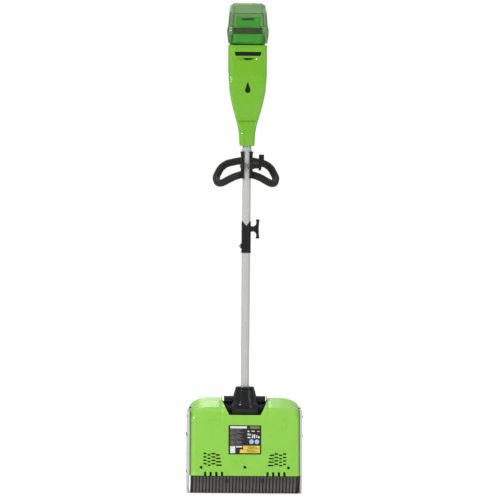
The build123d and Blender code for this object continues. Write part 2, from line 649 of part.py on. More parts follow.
def bay_liner():
    """Black sleeve with rails that the battery slides in."""
    liner = box(-44, 44, BAY_BACK, 56, 1280, 1345)
    liner -= box(-BATTERY_HALF - 0.6, BATTERY_HALF + 0.6, BATTERY_BACK - 1, BATTERY_FRONT + 1, 1284, 1400)
    return liner - box(-24, 24, -2, 20, 1279, 1285)


def terminal_block():
    """Block under the battery that carries the contact blades."""
    return box(-24, 24, -12, 30, 1268, 1280) - terminal_blades()


def terminal_blades():
    """Brass contact blades that enter the battery's foot."""
    return Compound([box(x - 0.4, x + 0.4, 2, 16, 1270, 1297) for x in (-15, -5, 5, 15)])


def trigger_parts():
    """Trigger, its pin and its torsion spring."""
    py, pz = TRIGGER_PIVOT
    points = [(py - 8, pz + 8), (py - 20, pz - 6), (40, 1186), (42, 1158), (48, 1148), (58, 1146), (60, 1150),
              (60, 1200), (py + 6, pz - 6), (py + 6, pz + 6)]
    lever = side_prism(points, -TRIGGER_HALF, TRIGGER_HALF)
    lever = fillet(lever.edges().filter_by(Axis.X).sort_by(Axis.Y)[:3], 4)
    lever -= rod_x(2 + RUNNING, -20, 20, py, pz)
    pin = rod_x(2, -13, 13, py, pz)
    spring = rod_x(4.2, 9, 11.4, py, pz) - rod_x(2.6, 0, 20, py, pz)
    return lever, pin, spring


def battery_parts():
    """Battery pack: green case with a wider waist, black band round it, and nine cells inside."""
    case = box(-BATTERY_HALF, BATTERY_HALF, BATTERY_BACK, BATTERY_FRONT, BATTERY_LOW, WAIST_TOP)
    case = fillet(case.edges().filter_by(Axis.Z), 6)
    top = box(-TOP_HALF, TOP_HALF, BATTERY_BACK, BATTERY_FRONT, WAIST_TOP, BATTERY_TOP)
    top = fillet(top.edges().filter_by(Axis.Z), 6)
    case += fillet(top.faces().sort_by(Axis.Z)[-1].edges(), 5)
    waist = box(-WAIST_HALF, WAIST_HALF, BATTERY_BACK - 1, BATTERY_FRONT + 1, WAIST_LOW, WAIST_TOP)
    waist = fillet(waist.edges().filter_by(Axis.Z), 7)
    case += chamfer(waist.faces().sort_by(Axis.Z)[-1].edges(), 0.8)
    case -= box(-32.5, 32.5, -26, 45, 1294, BATTERY_TOP - 5)
    case -= box(-8, 22, -2, 20, 1280, 1294.5) + box(-22, -8, -2, 20, 1280, 1294.5)
    case -= rod_y(6 + RUNNING, -60, 0, 0, BATTERY_BUTTON_Z)
    latch_slot = both_sides([(16, 1416), (22, 1419.5), (16, 1423)])
    case -= front_prism(latch_slot, -34, -27.5)
    band_low, band_high = 1375, 1394
    outer = box(-43.5, 43.5, BATTERY_BACK - 1.8, BATTERY_FRONT + 1.8, band_low, band_high)
    outer = fillet(outer.edges().filter_by(Axis.Z), 8)
    inner = box(-42.3, 42.3, BATTERY_BACK - 0.6, BATTERY_FRONT + 0.6, band_low, band_high)
    inner = fillet(inner.edges().filter_by(Axis.Z), 6.8)
    case -= box(-60, 60, -60, 60, band_low, band_high) - inner
    cells = []
    for column in (-1, 0, 1):
        for row in (-1, 0, 1):
            cells.append(rod_z(9.2, 1300, 1366, column * 20, 9.5 + row * 20))
    return case, outer - inner, Compound(cells)


def chamfered_plan(low, high):
    """The lid's plan, its near corners cut off: the cut's two (x, y) ends at the foot and at the top."""
    outlines = []
    for z, (near, far) in ((1340, low), (1475, high)):
        right = [near, far, (far[0], 80)]
        points = right + [(-x, y) for x, y in reversed(right)]
        outlines.append(Pos(0, 0, z) * make_face(Polyline(*points, close=True)))
    return loft(outlines, ruled=True)


def battery_lid():
    """Clear green lid over the battery: sloped top, chamfered corners, hinge knuckles and a finger tab."""
    sides = [(57, LID_LOW), (61, 1376), (61, 1388), (57.5, 1404), (55, 1437), (52, 1459), (40, LID_TOP)]
    profile = [(-44, LID_LOW), (-46, 1400), (-43, 1436), (-12, 1465), (0, LID_TOP), (44, LID_TOP),
               (60, 1452), (64, 1400), (64, LID_LOW)]
    outer = front_prism(both_sides(sides), -60, 90) & side_prism(profile, -70, 70)
    outer &= chamfered_plan([(49.5, -47), (64, -34.9)], [(41, -47), (64, -26.9)])
    inner_sides = [(x - LID_WALL, z) for x, z in sides]
    inner_sides[0] = (sides[0][0] - LID_WALL, LID_LOW - 1)
    inner_sides[-1] = (39, LID_TOP - LID_WALL)
    inner_sides[-2] = (50, 1458 - LID_WALL)
    inner_profile = [(-41.5, LID_LOW - 1), (-43.4, 1400), (-40.6, 1435), (-11, 1462.4), (0, 1465.5),
                     (43, 1465.5), (57.6, 1451), (61.5, 1400), (61.5, LID_LOW - 1)]
    inner = front_prism(both_sides(inner_sides), -60, 90) & side_prism(inner_profile, -70, 70)
    inner &= chamfered_plan([(47.9, -45.08), (64, -31.66)], [(39.35, -45.12), (64, -23.55)])
    lid = outer - inner
    lid -= box(-54, 54, 56, 70, LID_LOW - 1, LID_BACK_LOW)
    tab = box(-17, 17, -49, -43, LID_LOW, LID_LOW + 11)
    lid += chamfer(tab.edges().filter_by(Axis.X).sort_by(Axis.Y)[:2], 2)
    for x0, x1 in ((-54, -38.4), (38.4, 54)):
        lid += box(x0, x1, 61.5, LID_PIVOT[0], LID_PIVOT[1] - 8, LID_PIVOT[1] + 8)
        lid += rod_x(LID_KNUCKLE, x0, x1, *LID_PIVOT)
        lid -= rod_x(2 + RUNNING, x0 - 1, x1 + 1, *LID_PIVOT)
    return lid


def main():
    """Builds every sub-part and writes it."""
    save(rear_cover(), "rear_cover")
    save(front_hood(), "front_hood")
    save(rotor_housing(), "rotor_housing")
    save(side_plate(-1), "side_plate_left")
    save(side_plate(1), "side_plate_right")
    save(belt_bulkhead(), "belt_bulkhead")
    save(belt_cover(), "belt_cover")
    save(rotor_bearings(), "rotor_bearings")
    save(scraper(), "scraper")
    save(neck_bracket(), "neck_bracket")
    save(neck_socket(), "neck_socket")
    save(lower_tube(), "lower_tube")
    save(motor_can(), "motor_can")
    save(motor_mount(), "motor_mount")
    shaft, pulley, fan = motor_rotor_parts()
    save(shaft, "motor_shaft")
    save(pulley, "drive_pulley")
    save(fan, "motor_fan")
    save(drive_belt(), "drive_belt")
    shaft, core, paddles, pulley = rotor_parts()
    save(shaft, "rotor_shaft")
    save(core, "rotor_core")
    save(paddles, "rotor_paddles")
    save(pulley, "driven_pulley")
    save(box(-100, -20, -20, 30, 176, 180), "controller_board")
    label = panel_frame(162) * extrude(Rectangle(98, 86 / cos(0.255)), 0.4)
    save(label, "rating_label")
    cover_places = [panel_frame(z) * Pos(x, 0, -1.6) for x, z in SCREW_PLACES]
    for side in (-1, 1):
        cover_places.append(Plane(origin=(side * COVER_HALF, *SHOULDER_SCREW), z_dir=(side, 0, 0)))
    save(screw_heads(cover_places, COVER_SCREW_R, 2.2, 6), "cover_screws")
    side_places = []
    for side in (-1, 1):
        for y, z in SIDE_SCREW_PLACES:
            side_places.append(Plane(origin=(side * HEAD_HALF, y, z), z_dir=(side, 0, 0)))
    save(screw_heads(side_places, SIDE_SCREW_R, 2.0, 5), "side_screws")
    save(coupler(), "coupler")
    save(coupler_knob(), "coupler_knob")
    save(snap_button(), "snap_button")
    save(upper_tube(), "upper_tube")
    save(rod_z(9.0, 690, 706.5) - rod_z(3, 680, 720), "lower_connector")
    save(rod_z(9.0, 706.8, 724) - rod_z(3, 700, 730), "upper_connector")
    save(rod_z(3.0, 250, 689.8), "lower_cable")
    save(rod_z(3.0, 724.2, 1262), "upper_cable")
    save(aux_sleeve(), "aux_sleeve")
    save(aux_saddle() - aux_loop(), "aux_saddle")
    save(aux_loop(), "aux_loop")
    save(aux_bolt(), "aux_bolt")
    save(aux_knob(), "aux_knob")
    save(handle_rear_shell(), "handle_rear_shell")
    save(handle_front_shell(), "handle_front_shell")
    save(grip_overmould(), "grip_overmould")
    save(bay_liner(), "bay_liner")
    save(terminal_block(), "terminal_block")
    save(terminal_blades(), "terminal_blades")
    lever, pin, spring = trigger_parts()
    save(lever, "trigger")
    save(pin, "trigger_pin")
    save(spring, "trigger_spring")
    save(box(-7, 7, 70, 80, 1176, 1204), "trigger_switch")
    save(rod_y(6, 79, 90, 0, LOCK_Z), "lock_button")
    save(rod_y(4, 66, 74.5, 0, LOCK_Z) - rod_y(2.8, 60, 80, 0, LOCK_Z), "lock_spring")
    case, battery_band, cells = battery_parts()
    save(case, "battery_case")
    save(battery_band, "battery_band")
    save(cells, "battery_cells")
    save(rod_y(6, -34.5, -25, 0, BATTERY_BUTTON_Z), "battery_button")
    save(battery_lid(), "battery_lid")
    lid_pins = [rod_x(2, -55, -23, *LID_PIVOT), rod_x(2, 23, 55, *LID_PIVOT)]
    save(Compound(lid_pins), "lid_pins")
    well = Plane(origin=(0, HANDLE_BACK + 5, WELL_Z), z_dir=(0, -1, 0))
    screw = screw_heads([well], 4.2, 2.0, 0.01)
    save(screw - box(-10, 10, HANDLE_BACK + 5, 0, 1180, 1250), "handle_screw")


main()
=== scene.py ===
"""Battery snow blower: the looks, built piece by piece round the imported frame.

Shapes are drawn in millimetres from the tube's axis, +X to the operator's right, +Y away from the operator
and +Z up along the tube, and turned to the frame's metres as each mesh is made.
"""

import math

import bmesh
import bpy
from mathutils import Matrix, Vector


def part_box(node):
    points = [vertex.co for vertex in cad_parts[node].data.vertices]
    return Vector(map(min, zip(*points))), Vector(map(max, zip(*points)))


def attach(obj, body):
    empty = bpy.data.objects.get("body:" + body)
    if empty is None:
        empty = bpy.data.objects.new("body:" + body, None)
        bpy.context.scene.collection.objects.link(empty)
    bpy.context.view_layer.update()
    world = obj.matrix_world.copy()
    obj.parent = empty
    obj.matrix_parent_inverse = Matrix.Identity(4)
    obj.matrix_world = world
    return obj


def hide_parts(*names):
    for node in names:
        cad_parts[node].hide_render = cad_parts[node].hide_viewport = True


bl_info = {
    "name": "Battery Snow Blower",
    "version": (1, 0, 0),
    "blender": (4, 5, 0),
    "location": "3D View > Sidebar > Snow Blower",
    "description": "Builds a battery snow blower, one button for each group of pieces",
    "category": "Add Mesh",
}

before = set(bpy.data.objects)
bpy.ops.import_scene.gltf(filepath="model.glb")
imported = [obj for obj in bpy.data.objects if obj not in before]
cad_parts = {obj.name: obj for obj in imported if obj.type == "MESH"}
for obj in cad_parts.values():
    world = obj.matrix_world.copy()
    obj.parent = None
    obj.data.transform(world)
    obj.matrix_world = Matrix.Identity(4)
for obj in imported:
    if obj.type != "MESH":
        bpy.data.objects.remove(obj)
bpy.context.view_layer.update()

MM = 0.001
AXIS_Y = sum(corner.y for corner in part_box("lower_tube")) / 2

# ---------------- sizes, millimetres from the tube's axis ----------------
COVER_HALF = 165.0
COVER_WALL = 2.6
HANDLE_WALL = 2.4
REAR_FOOT = (-88.0, 56.0)
FOLD = (-36.0, 255.0)
CREST = (58.0, 288.0)
BROW = (106.0, 200.0)
LIP = (108.0, 178.0)
SEAM_Y = 22.0
CROWN_RUN = 60.0
CROWN_DROP = 32.0
EDGE_RUN = 22.0
EDGE_DROP = 12.0
ROTOR_Y = 16.0
ROTOR_Z = 80.0
TUBE_R = 12.5
SLOT_LOW = 1310.0
SLOT_TOP = 1322.0
SLOT_HALF = 37.0
SLOT_FLARE = 3.5
WELL_Z = 1207.5
SNAP_Z = 740.0
PLATE_BACK = 165.3
PLATE_FACE = 172.0
COVER_SCREWS = [(0, 81), (-130.5, 80), (130.5, 80)]       # (x, z) on the back panel
PLATE_SCREWS = [(-40, 174), (-24, 230), (70, 60), (92, 170)]    # (y, z) on each side plate
ONE = (1.0, 1.0, 1.0)
FINISH = {}
TREES = {}


def linear(code):
    """An sRGB hex colour as the linear values that shaders work in."""
    channels = [int(code[i:i + 2], 16) / 255 for i in (1, 3, 5)]
    return [c / 12.92 if c <= 0.04045 else ((c + 0.055) / 1.055) ** 2.4 for c in channels]


def smoothstep(low, high, value):
    """0 below low, 1 above high, and an even rise between."""
    t = min(1.0, max(0.0, (value - low) / (high - low)))
    return t * t * (3 - 2 * t)


# ---------------- settings that a user would change ----------------

class SnowBlowerSizes(bpy.types.PropertyGroup):
    """Sizes of the finish, in millimetres."""

    scraper_rib: bpy.props.FloatProperty(
        name="Scraper rib", description="Width of each rib on the scraper, in millimetres", default=6.2,
        min=1.0, max=8.0)
    scraper_pitch: bpy.props.FloatProperty(
        name="Scraper pitch", description="Spacing of the scraper's ribs, in millimetres", default=10.0,
        min=6.0, max=20.0)
    grip_pitch: bpy.props.FloatProperty(
        name="Grip pitch", description="Spacing of the ribs on the rear grip, in millimetres", default=6.0,
        min=3.0, max=12.0)


class SnowBlowerColours(bpy.types.PropertyGroup):
    """Colours of the main finishes."""

    head_green: bpy.props.FloatVectorProperty(
        name="Head green", description="Colour of the head's covers", subtype="COLOR", size=3, min=0, max=1,
        default=linear("#93D84A"))
    handle_green: bpy.props.FloatVectorProperty(
        name="Handle green", description="Colour of the rear handle", subtype="COLOR", size=3, min=0, max=1,
        default=linear("#77BE22"))
    tube_paint: bpy.props.FloatVectorProperty(
        name="Tube paint", description="Colour of the painted tubes", subtype="COLOR", size=3, min=0, max=1,
        default=linear("#CDCDCB"))
    lid_tint: bpy.props.FloatVectorProperty(
        name="Lid tint", description="Colour of the clear lid", subtype="COLOR", size=3, min=0, max=1,
        default=linear("#D2F5C0"))


# ---------------- materials ----------------

def add(tree, kind, inputs=(), **settings):
    """Adds a node with its settings; inputs are (socket, value or another node's output) pairs."""
    node = tree.nodes.new(kind)
    for key, value in settings.items():
        setattr(node, key, value)
    for socket, value in inputs:
        if isinstance(value, bpy.types.NodeSocket):
            tree.links.new(value, node.inputs[socket])
        else:
            node.inputs[socket].default_value = value
    return node


def opaque(colour):
    """A colour with full alpha."""
    return (*list(colour)[:3], 1.0)


def shade(colour, factor):
    """A colour made lighter or darker."""
    return opaque([min(1.0, c * factor) for c in list(colour)[:3]])


def start_material(name):
    """An empty node material with object coordinates, its shader and its output."""
    material = bpy.data.materials.new(name)
    material.use_nodes = True
    tree = material.node_tree
    tree.nodes.clear()
    where = add(tree, "ShaderNodeTexCoord").outputs["Object"]
    shader = add(tree, "ShaderNodeBsdfPrincipled")
    add(tree, "ShaderNodeOutputMaterial", [("Surface", shader.outputs["BSDF"])])
    return material, tree, where, shader


def patterned(name, colour, cloud, shades, relief=None, **sockets):
    """A surface whose colour wanders between two shades, with a fine relief, and the shader's own settings.

    cloud and relief start with (kind, size in millimetres, detail); relief goes on with strength and depth.
    """
    material, tree, where, shader = start_material(name)

    def texture(kind, size, detail):
        scale = [("Vector", where), ("Scale", 1 / (size * MM))]
        if kind == "noise":
            return add(tree, "ShaderNodeTexNoise", scale + [("Detail", detail)]).outputs["Fac"]
        return add(tree, "ShaderNodeTexVoronoi", scale).outputs["Distance"]

    base = add(tree, "ShaderNodeMix", [(0, texture(*cloud)), (6, shade(colour, shades[0])),
                                       (7, shade(colour, shades[1]))], data_type="RGBA")
    tree.links.new(base.outputs[2], shader.inputs["Base Color"])
    if relief:
        bump = add(tree, "ShaderNodeBump", [("Strength", relief[3]), ("Distance", relief[4] * MM),
                                            ("Height", texture(*relief[:3]))])
        tree.links.new(bump.outputs["Normal"], shader.inputs["Normal"])
    for socket, value in sockets.items():
        shader.inputs[socket.replace("_", " ")].default_value = value
    return material


def moulded(name, colour, roughness, grain, depth, mottle=0.05, edge=1.12, coat=0.0, specular=0.5):
    """Moulded plastic: grain of a size and depth in millimetres, faint flow mottle, and edges made paler by
    their curvature: a painted edge highlight with a little rub wear.
    """
    material, tree, where, shader = start_material(name)
    cloud = add(tree, "ShaderNodeTexNoise", [("Vector", where), ("Scale", 1 / (45 * MM)), ("Detail", 3.0)])
    base = add(tree, "ShaderNodeMix", [(0, cloud.outputs["Fac"]), (6, shade(colour, 1 - mottle)),
                                       (7, shade(colour, 1 + mottle))], data_type="RGBA")
    bend = add(tree, "ShaderNodeNewGeometry")
    # edges made paler by curvature, edge times the colour: a painted edge highlight, with a little rub wear
    edge_rub_and_highlight = add(tree, "ShaderNodeMapRange", [(0, bend.outputs["Pointiness"]), (1, 0.51), (2, 0.62)])
    wear_and_painted_light = add(tree, "ShaderNodeMix", [(0, edge_rub_and_highlight.outputs[0]), (6, base.outputs[2]),
                                       (7, shade(colour, edge))], data_type="RGBA")
    tree.links.new(wear_and_painted_light.outputs[2], shader.inputs["Base Color"])
    rough = add(tree, "ShaderNodeMapRange", [(0, cloud.outputs["Fac"]), (1, 0.3), (2, 0.7),
                                             (3, roughness - 0.04), (4, roughness + 0.05)])
    tree.links.new(rough.outputs[0], shader.inputs["Roughness"])
    fine = add(tree, "ShaderNodeTexNoise", [("Vector", where), ("Scale", 1 / (grain * MM)), ("Detail", 2.0)])
    bump = add(tree, "ShaderNodeBump", [("Strength", 0.5), ("Distance", depth * MM),
                                        ("Height", fine.outputs["Fac"])])
    tree.links.new(bump.outputs["Normal"], shader.inputs["Normal"])
    for socket, value in (("IOR", 1.5), ("Coat Weight", coat), ("Coat Roughness", 0.08),
                          ("Specular IOR Level", specular)):
        shader.inputs[socket].default_value = value
    return material


def painted(name, colour, roughness):
    """Powder-coated aluminium: orange-peel ripple 3 mm across under a satin skin."""
    return patterned(name, colour, ("noise", 60, 4.0), (0.96, 1.04), ("noise", 3, 1.0, 0.25, 0.05),
                     Roughness=roughness, Metallic=0.15, Coat_Weight=0.2)


def bare_metal(name, colour, roughness, stretch):
    """Bare metal: fine turning or brushing lines, drawn 0.8 mm apart so that they show."""
    material, tree, where, shader = start_material(name)
    shader.inputs["Base Color"].default_value = opaque(colour)
    shader.inputs["Metallic"].default_value = 1.0
    pull = add(tree, "ShaderNodeMapping", [("Vector", where), ("Scale", stretch)])
    line = add(tree, "ShaderNodeTexNoise", [("Vector", pull.outputs[0]), ("Scale", 1 / (0.8 * MM)),
                                            ("Detail", 2.0)])
    rough = add(tree, "ShaderNodeMapRange", [(0, line.outputs["Fac"]), (1, 0.2), (2, 0.8),
                                             (3, roughness - 0.08), (4, roughness + 0.1)])
    tree.links.new(rough.outputs[0], shader.inputs["Roughness"])
    bump = add(tree, "ShaderNodeBump", [("Strength", 0.2), ("Distance", 0.03 * MM),
                                        ("Height", line.outputs["Fac"])])
    tree.links.new(bump.outputs["Normal"], shader.inputs["Normal"])
    return material


def rubber(name, colour, roughness, grain):
    """Moulded rubber: dull, with a soft grain and dusty high spots."""
    return patterned(name, colour, ("noise", 12, 5.0), (0.85, 1.3), ("voronoi", grain, 0.0, 0.4, 0.12),
                     Roughness=roughness, IOR=1.52, Specular_IOR_Level=0.3)


def scraper_nylon(name, colour):
    """Dark nylon bar, paler towards the ground edge in streaks along the way it is pushed: scratches, and a
    painted reflection of the lower part.
    """
    material, tree, where, shader = start_material(name)
    height = add(tree, "ShaderNodeSeparateXYZ", [(0, where)])
    # paler towards the ground: a painted reflection of the lower part, broken into scratch streaks
    wear_and_painted_light = add(tree, "ShaderNodeMapRange", [(0, height.outputs["Z"]), (1, 42 * MM), (2, 6 * MM)])
    pull = add(tree, "ShaderNodeMapping", [("Vector", where), ("Scale", (1.0, 0.12, 0.12))])
    streak = add(tree, "ShaderNodeTexNoise", [("Vector", pull.outputs[0]), ("Scale", 1 / (1.6 * MM)),
                                              ("Detail", 4.0)])
    amount = add(tree, "ShaderNodeMath", [(0, wear_and_painted_light.outputs[0]), (1, streak.outputs["Fac"])],
                 operation="MULTIPLY")
    soft = add(tree, "ShaderNodeMapRange", [(0, amount.outputs[0]), (1, 0.0), (2, 0.6)])
    base = add(tree, "ShaderNodeMix", [(0, soft.outputs[0]), (6, shade(colour, 0.8)),
                                       (7, shade(colour, 2.0))], data_type="RGBA")
    tree.links.new(base.outputs[2], shader.inputs["Base Color"])
    bump = add(tree, "ShaderNodeBump", [("Strength", 0.4), ("Distance", 0.1 * MM),
                                        ("Height", streak.outputs["Fac"])])
    tree.links.new(bump.outputs["Normal"], shader.inputs["Normal"])
    shader.inputs["Roughness"].default_value = 0.5
    return material


def clear_plastic(name, colour):
    """Tinted clear polycarbonate: green, glossy, with faint flow lines 30 mm apart."""
    return patterned(name, colour, ("noise", 30, 2.0), (0.92, 1.08), ("noise", 30, 2.0, 0.08, 0.2),
                     Transmission_Weight=0.97, Roughness=0.03, IOR=1.45)


def printed(name, colour, roughness=0.4):
    """Ink on polyester film: flat colour with a fine print dot, 0.6 mm apart."""
    return patterned(name, colour, ("voronoi", 0.6, 0.0), (0.95, 1.05), Roughness=roughness)


def make_finishes():
    """One material for each of the record's slots, and the inks of the label."""
    colours = bpy.context.scene.snow_blower_colours
    steel_line = (1.0, 0.1, 0.1)
    return {
        # satin ABS of the head, bright yellow green, softly reflecting
        "green_abs": moulded("Satin ABS, head green", colours.head_green, 0.30, 1.4, 0.03, 0.03, 1.1, 0.25),
        # the same ABS in a deeper green, a little glossier
        "green_handle_abs": moulded("Satin ABS, handle green", colours.handle_green, 0.26, 1.4, 0.03, 0.03,
                                    1.12, 0.3),
        # coarse textured polypropylene inside the head
        "black_scroll": moulded("Textured polypropylene, black", linear("#232322"), 0.55, 1.8, 0.08),
        # satin polypropylene side plates
        "light_grey_plate": moulded("Satin polypropylene, light grey", linear("#D3D3D5"), 0.42, 1.4, 0.04,
                                    0.02),
        # wear bar, paler below in streaks: scratches and a painted reflection
        "dark_nylon": scraper_nylon("Nylon, dark grey, paler in streaks below", linear("#232120")),
        # its ribs, in a paler copy of the bar's nylon: a painted highlight on the ridges
        "rib_nylon": scraper_nylon("Nylon ribs, paler copy for painted highlight", linear("#6A6664")),
        # polished black neck with hard highlights, its edges 1.6 times paler as a painted highlight
        "gloss_black": moulded("Polished ABS, black", linear("#0B0D10"), 0.14, 6.0, 0.01, 0.1, 1.6, 0.1,
                               0.35),
        # powder coat on the tubes
        "painted_tube": painted("Powder-coated aluminium, light grey", colours.tube_paint, 0.36),
        # textured nylon knobs and coupler, almost black with grey sheen; its edges 2.2 times paler as a
        # painted highlight
        "black_nylon": moulded("Glass-filled nylon, black", linear("#171716"), 0.36, 1.2, 0.06, 0.1, 2.2, 0.0,
                               0.28),
        # soft grips
        "black_grip": rubber("Thermoplastic rubber, charcoal", linear("#1E1E1C"), 0.55, 1.6),
        "cable_rubber": rubber("Cable rubber, black", linear("#171717"), 0.55, 2.0),
        "belt_rubber": rubber("Belt rubber, black", linear("#1A1A19"), 0.7, 1.2),
        "paddle_rubber": rubber("Paddle rubber, black", linear("#1D1D1C"), 0.6, 2.2),
        "core_nylon": moulded("Nylon core, dark grey", linear("#2E2E2D"), 0.5, 1.5, 0.05),
        # turned and ground steel
        "steel": bare_metal("Ground steel", linear("#B8B9BC"), 0.28, steel_line),
        "motor_steel": bare_metal("Plated motor case", linear("#9A9C9E"), 0.35, steel_line),
        "motor_bracket_alu": bare_metal("Cast aluminium", linear("#A6A8AA"), 0.45, (1.0, 1.0, 1.0)),
        "pulley_alu": bare_metal("Turned aluminium", linear("#C2C4C6"), 0.3, steel_line),
        "pulley_nylon": moulded("Nylon pulley, black", linear("#202020"), 0.45, 1.2, 0.05),
        "board": moulded("Lacquered circuit board, green", linear("#1E5A34"), 0.3, 2.0, 0.05, 0.2),
        "label": printed("Label ink, black", linear("#1C1A1A")),
        "screw_steel": bare_metal("Blackened screw steel", linear("#3A3A3A"), 0.35, (1.0, 1.0, 1.0)),
        "zinc_bolt": bare_metal("Zinc-plated band", linear("#8F8B80"), 0.4, steel_line),
        "trigger_black": moulded("Acetal, black", linear("#1B1B1B"), 0.32, 1.2, 0.03, 0.1, 1.6, 0.0, 0.3),
        "lock_orange": moulded("Acetal, orange", linear("#D9661F"), 0.32, 1.2, 0.03),
        "brass_blades": bare_metal("Brass blades", linear("#C9A24A"), 0.25, (1.0, 1.0, 0.1)),
        "battery_green": moulded("Satin ABS, battery green", linear("#46D030"), 0.36, 1.4, 0.03, 0.03, 1.1),
        "battery_black": moulded("Textured ABS, black", linear("#232521"), 0.45, 1.4, 0.05, 0.1, 1.6),
        "cell_wrap": moulded("Shrink wrap, blue", linear("#2D5E8C"), 0.3, 3.0, 0.05),
        # dark strips along the lid's edges: painted shade for the dark look of its clear edges
        "lid_edge": moulded("Painted shade, lid edges, dark green", linear("#173D11"), 0.2, 3.0, 0.02),
        "clear_green": clear_plastic("Clear polycarbonate, green tint", colours.lid_tint),
        "ink_white": printed("Label ink, white", linear("#ECECEA")),
        "ink_grey": printed("Label ink, grey", linear("#77726E")),
        "ink_khaki": printed("Label ink, khaki", linear("#7E8440")),
        "ink_blue": printed("Label ink, light blue", linear("#A9CDEC")),
        "ink_yellow": printed("Label ink, yellow", linear("#F2D04A")),
    }


# ---------------- mesh tools ----------------

def new_object(name, points, faces, outward=True):
    """A mesh object from points in millimetres; closed shapes get their faces turned outwards."""
    mesh = bpy.data.meshes.new(name)
    mesh.from_pydata([(x * MM, y * MM + AXIS_Y, z * MM) for x, y, z in points], [], faces)
    if outward:
        work = bmesh.new()
        work.from_mesh(mesh)
        bmesh.ops.remove_doubles(work, verts=work.verts, dist=1e-6)
        bmesh.ops.recalc_face_normals(work, faces=work.faces)
        work.to_mesh(mesh)
        work.free()
    piece = bpy.data.objects.new(name, mesh)
    bpy.context.scene.collection.objects.link(piece)
    return piece


def plain(piece):
    """Turns a piece and its modifiers into a plain mesh."""
    bpy.context.view_layer.update()
    graph = bpy.context.evaluated_depsgraph_get()
    mesh = bpy.data.meshes.new_from_object(piece.evaluated_get(graph), depsgraph=graph)
    piece.modifiers.clear()
    old = piece.data
    piece.data = mesh
    bpy.data.meshes.remove(old)
    return piece


def soften(piece, width, segments=2, angle=30):
    """Rounds the edges sharper than an angle by a width in millimetres."""
    edge = piece.modifiers.new("Edge", "BEVEL")
    edge.width = width * MM
    edge.segments = segments
    edge.limit_method = "ANGLE"
    edge.angle_limit = math.radians(angle)
    edge.use_clamp_overlap = True
    edge.miter_outer = "MITER_ARC"
    return plain(piece)


def dress(piece, body, slot, *nodes, crease=38, finish=None):
    """Gives a finished piece its material, smooth shading and its body, and hides the CAD nodes that it stands
    for.
    """
    piece.data.materials.clear()
    piece.data.materials.append(FINISH[finish or slot])
    piece.data.shade_smooth()
    piece.data.set_sharp_from_angle(angle=math.radians(crease))
    even = piece.modifiers.new("Even", "WEIGHTED_NORMAL")
    even.keep_sharp = True
    plain(piece)
    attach(piece, body)
    if nodes:
        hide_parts(*nodes)


def copy_of(node):
    """A merged copy of a CAD node, its flat faces whole again."""
    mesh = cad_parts[node].data.copy()
    work = bmesh.new()
    work.from_mesh(mesh)
    bmesh.ops.remove_doubles(work, verts=work.verts, dist=2e-6)
    bmesh.ops.dissolve_limit(work, angle_limit=math.radians(0.6), verts=work.verts, edges=work.edges)
    work.to_mesh(mesh)
    work.free()
    mesh.materials.clear()
    piece = bpy.data.objects.new(node + "_piece", mesh)
    bpy.context.scene.collection.objects.link(piece)
    return piece


def skin(name, points, width, sample, inside, thickness):
    """A walled skin over a grid of points, width to a row; a face of the sample row faces away from inside."""
    rows = len(points) // width
    faces = [(a, a + 1, a + width + 1, a + width) for i in range(rows - 1)
             for a in range(i * width, i * width + width - 1)]
    piece = new_object(name, points, faces, outward=False)
    middle = piece.data.polygons[sample * (width - 1) + width // 2]
    away = middle.center - Vector(inside)
    if middle.normal.dot((0, away.y, away.z)) < 0:
        piece.data.flip_normals()
    wall = piece.modifiers.new("Wall", "SOLIDIFY")
    wall.thickness = thickness * MM
    wall.offset = -1.0
    return plain(piece)


def softened(node, body, slot, width, segments=2, crease=38, angle=30):
    """A CAD node with rounded edges, standing for that node."""
    dress(soften(copy_of(node), width, segments, angle), body, slot, node, crease=crease)


def join_shapes(*shapes):
    """Puts (points, faces) shapes into one."""
    points, faces = [], []
    for some_points, some_faces in shapes:
        start = len(points)
        points.extend(some_points)
        faces.extend([tuple(index + start for index in face) for face in some_faces])
    return points, faces


def between_rings(count):
    """Faces of a closed shape between two rings of as many points: its ends, then its sides."""
    faces = [tuple(range(count)), tuple(range(2 * count - 1, count - 1, -1))]
    return faces + [(i, (i + 1) % count, (i + 1) % count + count, i + count) for i in range(count)]


def prism(outline, axis, low, high):
    """A closed outline drawn out along an axis: (y, z) along X, (x, z) along Y, (x, y) along Z."""
    place = {"X": lambda a, b, c: (c, a, b), "Y": lambda a, b, c: (a, c, b), "Z": lambda a, b, c: (a, b, c)}
    points = [place[axis](a, b, end) for end in (low, high) for a, b in outline]
    return points, between_rings(len(outline))


def block(x0, x1, y0, y1, z0, z1):
    """A block between two corners, as a shape to cut or join with."""
    return prism([(x0, y0), (x1, y0), (x1, y1), (x0, y1)], "Z", z0, z1)


def corner_arc(before, corner, after, radius, steps=0, spacing=1.0, share=1.0):
    """Points round a corner's arc; share is how much of each side the arc may take."""
    here = Vector(corner)
    back, ahead = Vector(before) - here, Vector(after) - here
    half = back.angle(ahead) / 2
    reach = min(radius / math.tan(half), back.length * share, ahead.length * share)
    if reach < 0.01:
        return [here]
    radius = reach * math.tan(half)
    first, last = here + back.normalized() * reach, here + ahead.normalized() * reach
    centre = here + (back.normalized() + ahead.normalized()).normalized() * (radius / math.sin(half))
    sweep = (first - centre).angle_signed(last - centre)
    steps = steps or max(4, round(abs(sweep) * radius / spacing))
    points = []
    for step in range(steps + 1):
        spoke = first - centre
        spoke.rotate(Matrix.Rotation(-sweep * step / steps, 2))
        points.append(centre + spoke)
    return points


def rounded(corners, radii, steps=6):
    """A closed outline with arcs at its corners; radii is one number or one for each corner."""
    if not isinstance(radii, (list, tuple)):
        radii = [radii] * len(corners)
    outline = []
    for index, corner in enumerate(corners):
        after = corners[(index + 1) % len(corners)]
        outline += corner_arc(corners[index - 1], corner, after, radii[index], steps, share=0.49)
    return [tuple(point) for point in outline]


